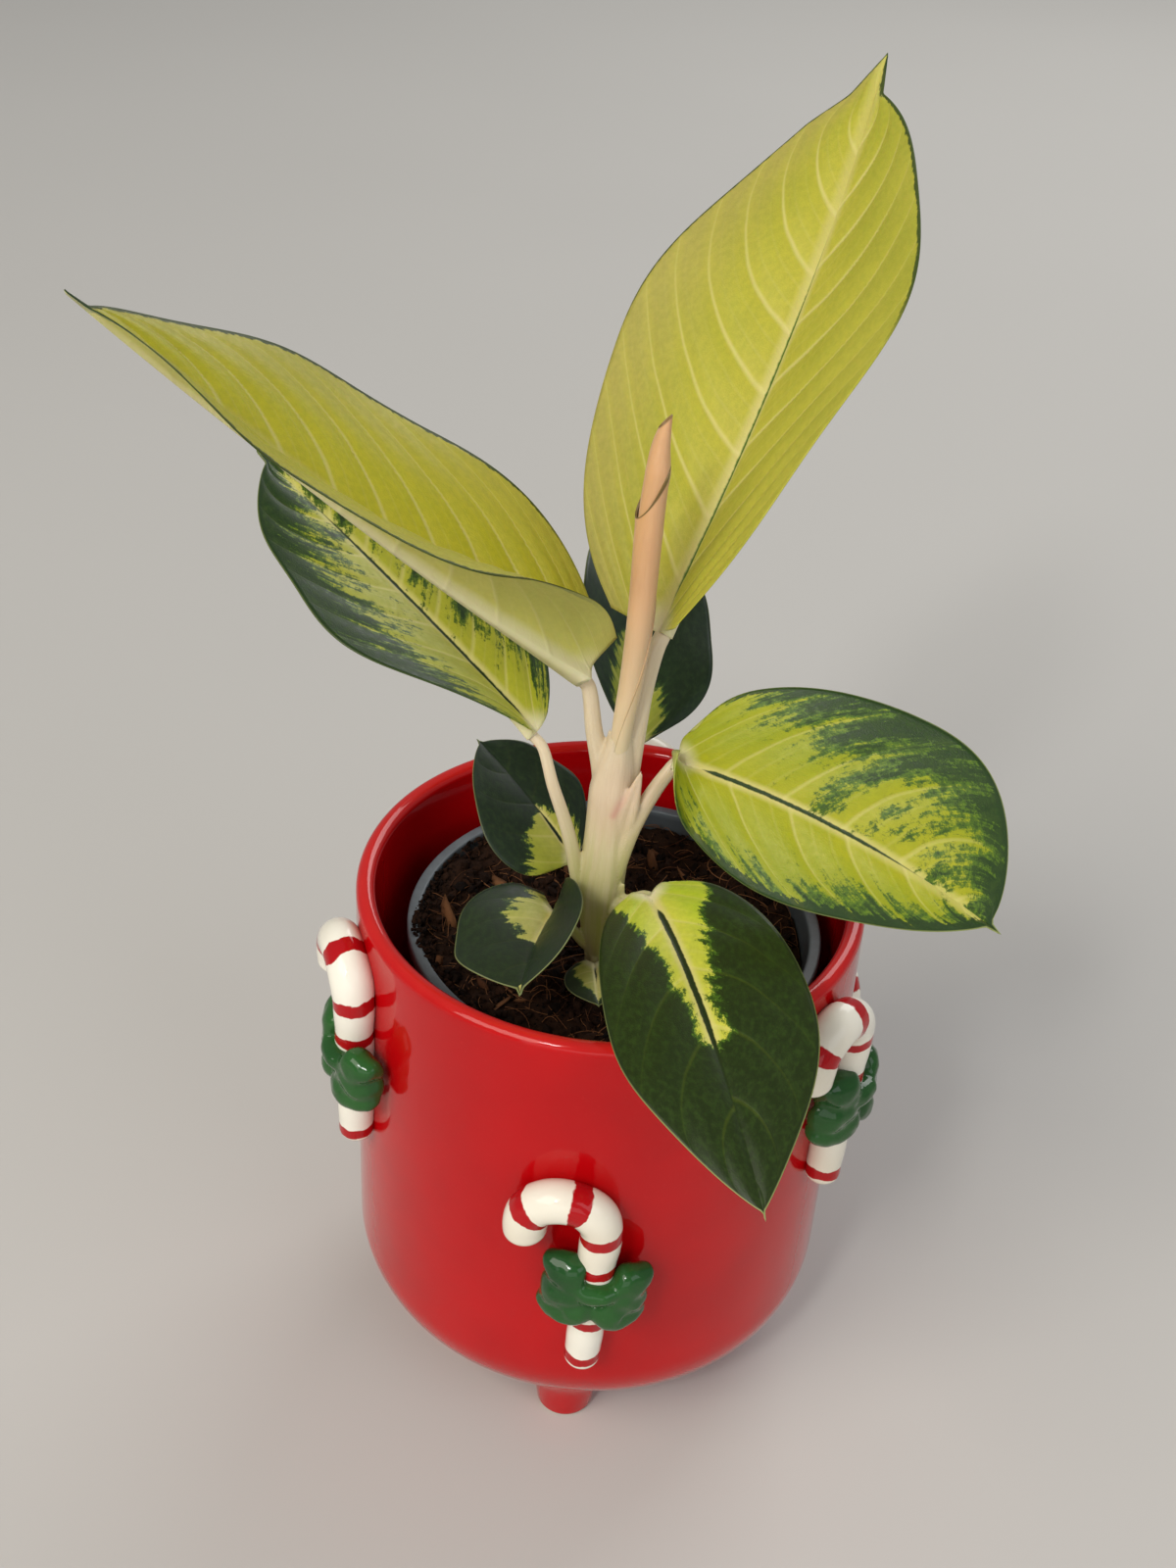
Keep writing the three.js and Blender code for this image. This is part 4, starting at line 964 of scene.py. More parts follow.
# %% Petioles and stem
PETIOLES = {
    "leaf_top_right": ([[0.5, -9.5, 190], [2, -8.5, 203], [3.4, -5.8, 217], [5, -2, 229]], (3.4, 2.2)),
    "leaf_top_left": ([[-3.4, -9, 192], [-5, -8.2, 205], [-7.6, -7.4, 217]], (3.0, 1.8)),
    "leaf_middle_left": ([[-5, -11.5, 158], [-9, -12, 170], [-12, -12.5, 184],
                          [-14.4, -12.5, 192.5], [-17.6, -12, 202]], (2.3, 1.45)),
    "leaf_middle_right": ([[-2.4, -12, 158], [0.4, -14, 176], [4.2, -14.2, 191], [8.4, -11.4, 199.6],
                           [12.4, -7.6, 204.6]], (3.3, 1.8)),
    "leaf_front": ([[-2.6, -12, 150], [-0.8, -14, 158], [2.6, -17, 166.5]], (2.8, 1.6)),
    "leaf_back": ([[0, -7, 184], [2, -2, 193.5], [3, 4, 198]], (2.6, 1.6)),
    "leaf_small_left": ([[-3.4, -9, 154], [-5.6, -5, 161], [-8.4, -0.8, 164]], (2.0, 1.2)),
    "leaf_small_front": ([[-2.8, -12.2, 146.5], [-6, -14, 150], [-10, -15.6, 156]], (1.8, 1.3)),
    "leaf_lowest": ([[-3, -12.4, 147], [-3.3, -15.6, 146.4]], (1.5, 0.9)),
}
STEM_ROUTE = [
    ([*STEM_FOOT, 116], 3.4), ([*STEM_FOOT, 145], 3.6), ([-3.2, -12, 154], 4.9),
    ([-3.2, -11.4, 168], 6.5), ([-2.2, -10.8, 186], 6.2), ([-1.9, -9.9, 200], 5.9),
    ([-1.3, -9.4, 209], 4.7), ([-0.6, -9.5, 217], 2.8),
]
SHEATH_TIPS = [
    ([0.6, -14.2, 184], [3.0, -14.6, 198], [5.6, -13.6, 209.5], (3.8, 2.9)),
    ([-1.6, -13.6, 160], [1.0, -14.8, 166], [3.3, -16, 173.6], (3.2, 2.2)),
    ([-5.0, -10.6, 172], [-6.9, -11.1, 182], [-7.7, -11.2, 189], (3.0, 1.9)),
    ([-2.6, -8.6, 204], [-3.0, -8.2, 212], [-3.4, -7.6, 218.2], (3.0, 2.0)),
]
SHEATH_FOLD = [(-1.0, -16, 196), (0.6, -16, 200), (2.4, -15.8, 205)]
BLUSH_LINE = 1.0
BLUSH_HALO = 8.0
BLADE_DEPTH = 0.7

# %% [markdown]
# The blades come before the stem in this cell order, because a petiole ends under its blade. A
# blade is described the way a botanist would: length, the compass heading and slope of its
# midrib, and for each half a width, the place where it is widest, how far it folds up and how it
# curls. Two numbers locate every point: its place from base to tip and its distance across. A
# few halves have a trait of their own, such as a broader drip tip, a longer lobe at the base or
# a corner that cups upwards, and three blades have a rounder base.

# %% Leaf blades: the shapes
DRIP_WIDTH = 0.1
DRIP_LENGTH = 0.16
LOBE_REACH = 0.35
CUP_REACH = 0.1
ROUND_REACH = 0.12
ROUND_CURVE = 4
SWEEP_GAIN = 3.0
SWEEP_FADE = 1.3
SWEEP_CURVE = 1.6
MIDRIB_STEPS = 400


def leaf_half(width, widest, full, fold, bump, curl, ripple):
    """Half a blade: width in mm, place of the widest, fullness, folds and curl in degrees."""
    return {"width": width, "widest": widest, "full": full, "fold": fold, "bump": bump,
            "curl": curl, "ripple": ripple}


def leaf_shape(base, length, heading, turn, rise, droop, roll, sweep, lobe, shoulder, point, waves,
               wave, keel, left, right):
    """A whole blade: lengths in mm, angles in degrees, places from 0 at the base to 1 at the tip."""
    return {"base": base, "length": length, "heading": heading, "turn": turn, "rise": rise,
            "droop": droop, "roll": roll, "sweep": sweep, "lobe": lobe, "shoulder": shoulder,
            "point": point, "waves": waves, "wave": wave, "keel": keel, "left": leaf_half(*left),
            "right": leaf_half(*right)}


LEAVES = {
    "leaf_top_right": leaf_shape(
        (7, 2, 243), 173, 56, 17, 46, -4, -15, 15, -1, 0.26, 0.92, 2, 1.2, 3.2,
        (47, 0.36, 0.7, (21, 12), 2, -6, (-0.02, 280)), (41.5, 0.4, 0.74, (29, 13), 6, 0, (-0.04, 270))),
    "leaf_top_left": leaf_shape(
        (-11, -6, 234), 168, 201, 11, 40, 7, -11, 14, 0, 0.31, 0.96, 2.1, 1, 2.8,
        (37.5, 0.43, 0.66, (105, 36), -24, -12, (-0.16, -30)),
        (38, 0.34, 0.79, (45, 25), 0, -10, (0.04, 0))),
    "leaf_middle_left": leaf_shape(
        (-22.5, -8, 216), 110, 151, -9, 34, -14, 3, 12, -2, 0.21, 0.95, 2.1, 0.8, 2.2,
        (31, 0.39, 0.74, (37, 4), -6, -7, (-0.05, 0)), (30.5, 0.39, 0.72, (21, 10), 0, -9, (0, 0))),
    "leaf_middle_right": leaf_shape(
        (15, -8, 209.5), 96, -27, 3, 2, -28, 50, 15, 0, 0.25, 0.95, 1.4, 1, 2.2,
        (36, 0.44, 0.58, (17, 5), 1, -6, (0.04, 90)), (23.5, 0.33, 0.78, (9, 5), 0, -12, (0.04, -20))),
    "leaf_front": leaf_shape(
        (10, -19, 173), 112, -76, 3, 16, -44, 8, 14, 6, 0.22, 0.978, 2.1, 0.8, 2.2,
        (27.5, 0.39, 0.9, (23, 5), -2, -8, (0.02, -20)), (24.5, 0.41, 0.84, (13, 6), 0, -13, (0.02, 20))),
    "leaf_back": leaf_shape(
        (3.5, 10, 200.5), 84, 94, 0, 34, -20, 6, 11, -5, 0.26, 0.95, 2.2, 0.7, 2,
        (19, 0.39, 0.73, (45, 36), 0, -9, (0, 0)), (23.5, 0.34, 0.67, (14, 11), 0, -13, (0.03, 0))),
    "leaf_small_left": leaf_shape(
        (-11, 3, 166.5), 44, 146, -1, 45, -20, -3, 5, 1, 0.21, 0.96, 1.9, 0.4, 1.4,
        (22.5, 0.3, 0.71, (6, 14), 0, -12, (0, 0)), (16, 0.4, 0.69, (9, 13), 0, -10, (0.06, 240))),
    "leaf_small_front": leaf_shape(
        (-15, -17, 163), 42, 254, 11, 21, -30, 6, 12, 6, 0.29, 0.9, 2, 0.4, 1.4,
        (21, 0.41, 0.76, (77, 43), -2, 1, (0.01, 20)), (22, 0.35, 0.67, (34, 3), 0, -5, (-0.05, 160))),
    "leaf_lowest": leaf_shape(
        (-3.4, -19, 147.6), 18.5, -84, 0, 8, -16, 0, 3, 1, 0.25, 0.95, 1.5, 0.2, 1,
        (9, 0.4, 0.72, (14, 8), 0, -10, (0, 0)), (9, 0.4, 0.72, (14, 8), 0, -10, (0, 0))),
}
HALF_TRAITS = [
    ("leaf_top_right", "left", {"drip": 0.26}),
    ("leaf_middle_right", "left", {"lobe": 2.0}),
    ("leaf_middle_right", "right", {"lobe": 3.0, "cup": 111.0}),
    ("leaf_front", "left", {"drip": 0.06}),
    ("leaf_front", "right", {"drip": 0.06}),
]
ROUND_BASES = {"leaf_middle_right": 0.05, "leaf_front": 0.05, "leaf_small_left": 0.04}
for leaf_name, half_name, traits in HALF_TRAITS:
    LEAVES[leaf_name][half_name].update(traits)
for leaf_name, rounding in ROUND_BASES.items():
    LEAVES[leaf_name]["round"] = rounding


def blade_width(leaf, half, place):
    """Half width at a place from base to tip, as a share of the widest."""
    power = math.log(0.5) / math.log(half["widest"] / leaf["point"])
    body = np.sin(np.pi * np.clip(place / leaf["point"], 0, 1) ** power)
    belly = np.maximum(0, body) ** half["full"]
    shoulder = leaf["shoulder"] * np.sqrt(np.clip(1 - place / half["widest"], 0, 1))
    drip = half.get("drip", DRIP_WIDTH) * np.clip((1 - place) / DRIP_LENGTH, 0, 1)
    size, start = half["ripple"]
    ripple = 1 + size * np.sin(TURN * leaf["waves"] * place + math.radians(start))
    return ((belly**2 + shoulder**2) ** 2 + drip**4) ** 0.25 * ripple


def midrib(leaf):
    """Points and directions along the midrib: forward, to the left side and out of the face."""
    share = np.linspace(0, 1, MIDRIB_STEPS + 1)
    heading = np.radians(leaf["heading"] + leaf["turn"] * share)
    rise = np.radians(leaf["rise"] + leaf["droop"] * share)
    forward = np.stack([np.cos(rise) * np.cos(heading), np.cos(rise) * np.sin(heading), np.sin(rise)], -1)
    level = np.stack([-np.sin(heading), np.cos(heading), 0 * heading], -1)
    normal = np.cross(forward, level)
    roll = math.radians(leaf["roll"])
    side = math.cos(roll) * level + math.sin(roll) * np.cross(forward, level)
    out = math.cos(roll) * normal + math.sin(roll) * np.cross(forward, normal)
    steps = (forward[1:] + forward[:-1]) / 2 * leaf["length"] / MIDRIB_STEPS
    points = np.array(leaf["base"]) + np.vstack([np.zeros(3), np.cumsum(steps, axis=0)])
    return points, forward, side, out


def along_midrib(values, leaf, distance):
    """Values of the midrib at distances along it."""
    spot = np.clip(distance / leaf["length"], 0, 1) * MIDRIB_STEPS
    return np.stack([np.interp(spot, np.arange(MIDRIB_STEPS + 1), values[:, k]) for k in range(3)], -1)


def by_side(across, left, right):
    """The left value where a point lies left of the midrib, and the right value elsewhere."""
    return np.where(across >= 0, left, right)


def blade_point(leaf, rib, place, across):
    """Points of the upper face, and how far each lies along and across in millimetres."""
    left, right = leaf["left"], leaf["right"]
    share = np.abs(across)
    width = by_side(across, left["width"] * blade_width(leaf, left, place),
                    right["width"] * blade_width(leaf, right, place))
    reach = share * width
    lobe = by_side(across, left.get("lobe", leaf["lobe"]), right.get("lobe", leaf["lobe"]))
    back = lobe * np.clip(1 - place / LOBE_REACH, 0, 1) ** 2
    corner = leaf.get("round", 0.0) * leaf["length"] * np.clip(1 - place / ROUND_REACH, 0, 1) ** 2
    sweep = leaf["sweep"] * SWEEP_GAIN * place * np.clip(1 - place, 0, 1) ** SWEEP_FADE
    distance = place * leaf["length"] + (sweep - back) * share**SWEEP_CURVE + corner * share**ROUND_CURVE
    along = np.clip(distance / leaf["length"], 0, 1)
    base_fold = by_side(across, left["fold"][0], right["fold"][0])
    tip_fold = by_side(across, left["fold"][1], right["fold"][1])
    fold = tip_fold + (base_fold - tip_fold) * (1 - along) ** 2
    fold = fold + by_side(across, left["bump"], right["bump"]) * 4 * along * (1 - along)
    cup = by_side(across, left.get("cup", 0.0), right.get("cup", 0.0))
    fold = fold + cup * np.clip(1 - place / CUP_REACH, 0, 1) ** 1.5
    bend = np.radians(by_side(across, left["curl"], right["curl"]) * share) / 2
    slope = np.radians(fold) + bend
    chord = np.sinc(bend / np.pi)
    hand = by_side(across, 1.0, -1.0)
    swing = np.sin(TURN * leaf["waves"] * place + hand) * np.sin(np.pi * place)
    wave = leaf["wave"] * share**2 * swing
    points, forward, side, out = rib
    past = np.where(distance < 0, distance, np.maximum(0, distance - leaf["length"]))
    spot = along_midrib(points, leaf, distance) + along_midrib(forward, leaf, distance) * past[..., None]
    sideways = hand * (reach * chord * np.cos(slope) - wave * np.sin(slope))
    upward = reach * chord * np.sin(slope) + wave * np.cos(slope)
    spot = spot + along_midrib(side, leaf, distance) * sideways[..., None]
    spot = spot + along_midrib(out, leaf, distance) * upward[..., None]
    return spot, distance, hand * reach


print("leaves:", len(LEAVES), "- longest", max(leaf["length"] for leaf in LEAVES.values()), "mm")

# %% [markdown]
# The side veins leave the midrib at about 50 degrees and sweep forward along the margin. Where a
# point lies between them is worked out by asking at which place the vein through it left the
# midrib. The same number then drives the quilting of the blade, the pale vein lines and the
# streaks of the markings, so that all three agree.

# %% Leaf blades: veins and relief
VEIN_LEAN = 0.2
VEIN_BEND = 0.24
VEIN_CURVE = 2.4
VEIN_FADE = 0.25
CELL = 1.0
THICKNESS = 0.5
NUDGE = 0.002
QUILT = 1.15
RELIEF = {
    "leaf_middle_left": 0.6, "leaf_front": 0.65, "leaf_back": 0.4, "leaf_small_left": 0.35,
    "leaf_small_front": 0.35, "leaf_lowest": 0.4,
}
FULL_LENGTH = 173.0
CHANNEL_DEPTH = 0.6
CHANNEL_WIDTH = 1.3
EDGE_THINNING = 0.45
FIRST_VEIN = (0.25, 0.13)
VEIN_COUNT = {
    "leaf_top_right": 9.5, "leaf_top_left": 9.5, "leaf_middle_left": 8, "leaf_middle_right": 5.6,
    "leaf_front": 5.2, "leaf_back": 6, "leaf_small_left": 4, "leaf_small_front": 4, "leaf_lowest": 4,
}


def vein_start(along, share):
    """Where on the midrib, from 0 to 1, the vein through a point began."""
    swept = VEIN_LEAN * share + VEIN_BEND * share**VEIN_CURVE
    return along - swept * np.clip(1 - along, 0, 1) ** VEIN_FADE


def vein_phase(leaf_name, start, across):
    """Counts the veins: a whole number lies on a vein."""
    return start * VEIN_COUNT[leaf_name] + by_side(across, *FIRST_VEIN)


def blade_piece(leaf_name):
    """The blade as one closed skin, with the numbers that its material reads."""
    leaf = LEAVES[leaf_name]
    rib = midrib(leaf)
    rows = max(30, round(leaf["length"] / CELL))
    half_columns = max(14, round(max(leaf["left"]["width"], leaf["right"]["width"]) / CELL / 1.1))
    u = np.linspace(-1, 1, 2 * half_columns + 1)
    columns = np.sign(u) * np.abs(u) ** 1.15
    place, across = np.meshgrid(np.arange(rows) / rows, columns, indexing="ij")
    spot, distance, reach = blade_point(leaf, rib, place, across)
    ahead = blade_point(leaf, rib, place + NUDGE, across)[0] - spot
    beyond = blade_point(leaf, rib, place, np.clip(across + NUDGE, -1, 1))[0]
    before = blade_point(leaf, rib, place, np.clip(across - NUDGE, -1, 1))[0]
    normal = np.cross(ahead, beyond - before)
    normal /= np.maximum(1e-9, np.linalg.norm(normal, axis=-1))[..., None]
    along = np.clip(distance / leaf["length"], 0, 1)
    share = np.abs(across)
    start = vein_start(along, share)
    phase = vein_phase(leaf_name, start, across)
    scale = (leaf["length"] / FULL_LENGTH) ** 0.5
    calm = np.sin(np.pi * np.clip(share, 0, 1) ** 0.8)
    calm *= np.clip((1 - place) * 6, 0, 1) * np.clip(place * 12, 0, 1)
    quilt = QUILT * RELIEF.get(leaf_name, 1.0) * np.abs(np.sin(np.pi * phase)) ** 0.6 * calm * scale
    channel = CHANNEL_DEPTH * scale * np.exp(-((reach / (CHANNEL_WIDTH * scale)) ** 2)) * (1 - place * 0.8)
    upper = spot + normal * (quilt - channel)[..., None]
    keel = leaf["keel"] * (1 - place) ** 1.3 * np.exp(-((reach / (0.55 * leaf["keel"] + 0.4)) ** 2))
    thin = THICKNESS * (1 - EDGE_THINNING * share**4)
    under = upper - normal * (thin + keel + channel * 0.8)[..., None]
    tip = blade_point(leaf, rib, np.array([1.0]), np.array([0.0]))[0][0]
    tips = np.array([tip, tip - normal[-1, half_columns] * 0.3])
    wide = 2 * half_columns + 1
    count = rows * wide
    index = np.arange(count).reshape(rows, wide)
    quads = np.stack([index[:-1, :-1], index[:-1, 1:], index[1:, 1:], index[1:, :-1]], -1).reshape(-1, 4)
    last = index[-1]
    top_faces = quads.tolist() + [[a, b, 2 * count] for a, b in zip(last[:-1], last[1:])]
    low_faces = (quads[:, ::-1] + count).tolist()
    low_faces += [[b + count, a + count, 2 * count + 1] for a, b in zip(last[:-1], last[1:])]
    border = [*index[0], *index[1:, -1], 2 * count, *index[:0:-1, 0]]
    edge_faces = []
    for a, b in zip(border, [*border[1:], border[0]]):
        below = [n + count if n < count else 2 * count + 1 for n in (a, b)]
        edge_faces.append([a, b, below[1], below[0]])
    points = np.vstack([upper.reshape(-1, 3), under.reshape(-1, 3), tips])
    faces = top_faces + low_faces + edge_faces
    made = make_object(leaf_name.replace("leaf", "blade"), points, faces)
    pattern = np.stack([start, across, along], -1).reshape(-1, 3)
    set_attribute(made, "vein_map", np.vstack([pattern, pattern, [[1, 0, 1]] * 2]))
    edge = np.abs(np.stack([reach[:, 0], reach[:, -1]], -1))
    edge = by_side(across, edge[:, 1:], edge[:, :1]) - np.abs(reach)
    ruler = np.stack([distance, reach, edge], -1).reshape(-1, 3)
    set_attribute(made, "blade_mm", np.vstack([ruler, ruler, [[leaf["length"], 0, 0]] * 2]))
    sides = np.zeros(len(faces), np.int32)
    sides[len(top_faces) : len(top_faces) + len(low_faces)] = 1
    made.data.polygons.foreach_set("material_index", sides)
    return made


# %% [markdown]
# Aglaonema leaves are variegated: where the plant makes no green pigment, the yellow tissue
# shows. The border between the two is ragged because the cells of each kind grew in files along
# the side veins. So each half gets a curve that says how far out the yellow reaches, from base
# to tip, and noise that is stretched along the veins pushes that border in and out.

# %% Leaf markings
ALL_YELLOW = ((0, 1.6), (1, 1.6))


def leaf_marks(left, right, streak, soft, pull, line, margin, pale_edge, tan):
    """The markings of a leaf. Pairs are for the left and the right half.

    The margin has a width for each half in mm and the place where it begins. The line on the
    midrib has the places where it begins and ends, and its width.
    """
    return {"left": left, "right": right, "streak": streak, "soft": soft, "pull": pull,
            "line": line, "margin": margin, "pale_edge": pale_edge, "tan": tan}


MARKINGS = {
    "leaf_top_right": leaf_marks(
        ALL_YELLOW, ((0, 1.6), (0.9, 1.6), (0.965, 0.9), (1, 0.1)),
        (0.0, 0.1), 0.05, 0.0, (0.03, 0.74, 0.65), (0.3, 0.8, 0.4), 0.0, (0.75, 0.1)),
    "leaf_top_left": leaf_marks(
        ((0, 1.6), (0.86, 1.5), (0.95, 0.7), (1, 0.1)), ((0, 1.6), (0.93, 1.5), (1, 0.3)),
        (0.1, 0.1), 0.05, 0.0, (0.5, 0.9, 0.5), (1.3, 0.85, 0.03), 0.0, (0.2, 0.45)),
    "leaf_middle_left": leaf_marks(
        ((0, 1.0), (0.1, 0.84), (0.3, 0.6), (0.5, 0.46), (0.7, 0.34), (0.85, 0.18), (1, 0.0)),
        ((0, 1.0), (0.1, 0.7), (0.3, 0.36), (0.5, 0.28), (0.7, 0.22), (0.85, 0.1), (1, 0)),
        (0.56, 0.5), 0.16, 0.14, (0.02, 0.86, 1.0), (1.1, 1.0, 0.03), 0.3, (0.0, 0.1)),
    "leaf_middle_right": leaf_marks(
        ((0, 1.3), (0.12, 1.05), (0.25, 0.8), (0.4, 0.54), (0.6, 0.47), (0.8, 0.4), (0.93, 0.27),
         (1, 0.05)),
        ((0, 1.05), (0.3, 0.98), (0.5, 0.82), (0.7, 0.7), (0.85, 0.6), (1, 0.35)),
        (0.66, 0.6), 0.26, 0.3, (0.06, 0.8, 1.0), (1.4, 2.4, 0.0), 0.6, (0.0, 0.65)),
    "leaf_front": leaf_marks(
        ((0, 1.4), (0.05, 1.1), (0.12, 0.75), (0.2, 0.4), (0.3, 0.27), (0.45, 0.17), (0.57, 0.1),
         (0.66, -0.2), (1, -0.5)),
        ((0, 1.4), (0.05, 1.1), (0.1, 0.7), (0.18, 0.42), (0.3, 0.23), (0.45, 0.14), (0.56, 0.08),
         (0.64, -0.2), (1, -0.5)),
        (0.12, 0.1), 0.035, 0.07, (0.07, 0.78, 1.5), (0.7, 0.7, 0.03), 0.6, (0.0, 0.0)),
    "leaf_back": leaf_marks(
        ((0, 0.75), (0.2, 0.55), (0.4, 0.2), (0.5, -0.3), (1, -0.5)),
        ((0, 0.5), (0.2, 0.3), (0.35, 0.1), (0.45, -0.3), (1, -0.5)),
        (0.25, 0.2), 0.05, 0.06, (0.02, 0.4, 0.9), (0.7, 0.7, 0.03), 0.3, (0.0, 0.0)),
    "leaf_small_left": leaf_marks(
        ((0, 1.1), (0.08, 0.95), (0.2, 0.62), (0.3, 0.42), (0.38, 0.14), (0.46, -0.3), (1, -0.5)),
        ((0, 0.8), (0.12, 0.55), (0.28, 0.35), (0.4, 0.1), (0.48, -0.3), (1, -0.5)),
        (0.34, 0.3), 0.05, 0.06, (0.1, 0.5, 1.1), (0.6, 0.6, 0.03), 0.3, (0.0, 0.0)),
    "leaf_small_front": leaf_marks(
        ((0, 0.5), (0.2, 0.2), (0.3, -0.3), (1, -0.5)),
        ((0, 0.84), (0.08, 0.56), (0.3, 0.44), (0.45, 0.28), (0.54, -0.2), (0.88, -0.2),
         (0.95, 1.4), (1, 1.6)),
        (0.3, 0.34), 0.05, 0.06, (0.1, 0.4, 0.7), (0.6, 0.6, 0.03), 0.4, (0.0, 0.0)),
    "leaf_lowest": leaf_marks(
        ((0, 0.9), (0.5, 0.5), (1, 0.05)), ((0, 0.9), (0.5, 0.45), (1, 0.05)),
        (0.3, 0.3), 0.06, 0.1, (0.1, 0.6, 0.6), (0.8, 0.8, 0.03), 0.4, (0.0, 0.0)),
}
GRAIN = {"leaf_middle_left": 0.12, "leaf_middle_right": 0.17, "leaf_front": 0.045, "leaf_small_left": 0.06,
         "leaf_small_front": 0.06}
VEINS_ON_GREEN = {"leaf_middle_left": 0.5, "leaf_middle_right": 0.8, "leaf_front": 0.4}
VEINS_ON_YELLOW = {"leaf_top_right": 0.55, "leaf_top_left": 0.55, "leaf_middle_left": 0.35}
EDGE_TINT = {"leaf_middle_right": "#7E8C16"}
VEIN_END = (0.78, 0.96)

# %% [markdown]
# A leaf's skin is a thin waxy cuticle over wet tissue. It gives the eye a soft, broad gloss and
# some light that sinks in and comes out again, which is why the shader has a little subsurface
# scattering. The underside has less pigment and less wax, so it is paler and duller, and its
# veins stand out instead of lying in.

# %% Leaf skin
# Each leaf's colours are partly its own pigment and partly painted shade: leaf_back, leaf_small_left and
# leaf_small_front have greyer, darker colours, and leaf_middle_right a darker yellow, because less light
# falls on them.
LEAF_COLOURS = {
    "leaf_top_right": ("#AAA732", "#C5BC46", "#4E6A1C", "#2A401A"),
    "leaf_top_left": ("#B8B122", "#C8BE38", "#4E6A1C", "#243A18"),
    "leaf_middle_left": ("#A3A524", "#B5B23A", "#56701C", "#243818"),
    "leaf_middle_right": ("#929A14", "#AEAA20", "#56741A", "#263C16"),
    "leaf_front": ("#A9BA26", "#D6CE50", "#4C701A", "#222F0D"),
    "leaf_back": ("#8C9430", "#A5A648", "#46602A", "#20301F"),
    "leaf_small_left": ("#A0A634", "#C0BC58", "#46602A", "#1F2C1E"),
    "leaf_small_front": ("#A6A844", "#C8C268", "#46602A", "#242F1F"),
    "leaf_lowest": ("#A0A048", "#B0AE5A", "#46602A", "#24301E"),
}
PALE_VEIN = "#D6CC82"
CREAM = "#E4DCB4"
TAN = "#AE9F58"
UNDERSIDE = "#C4C17E"
PALE_EDGE = "#C3C97C"


def side_curve(tree, along, points):
    """How far out the yellow reaches at a place along the blade."""
    made = add(tree, "FloatCurve", {"Value": along})
    curve = made.mapping.curves[0]
    made.mapping.use_clip = False
    heights = [(x, (y + 1) / 3) for x, y in points]
    curve.points[0].location = heights[0]
    curve.points[1].location = heights[-1]
    for spot in heights[1:-1]:
        curve.points.new(*spot)
    made.mapping.update()
    grown = add(tree, "Math", {0: made.outputs[0], 1: 3.0, 2: -1.0}, operation="MULTIPLY_ADD")
    return grown.outputs[0]


def layered(tree, colour, layers):
    """Lays colours over a base. A layer is its mask, its strength and its colour."""
    for mask, strength, above in layers:
        share = add(tree, "Math", {0: mask, 1: strength}, operation="MULTIPLY")
        laid = add(tree, "Mix", {0: share.outputs[0], 6: colour, 7: above}, data_type="RGBA")
        colour = laid.outputs[2]
    return colour


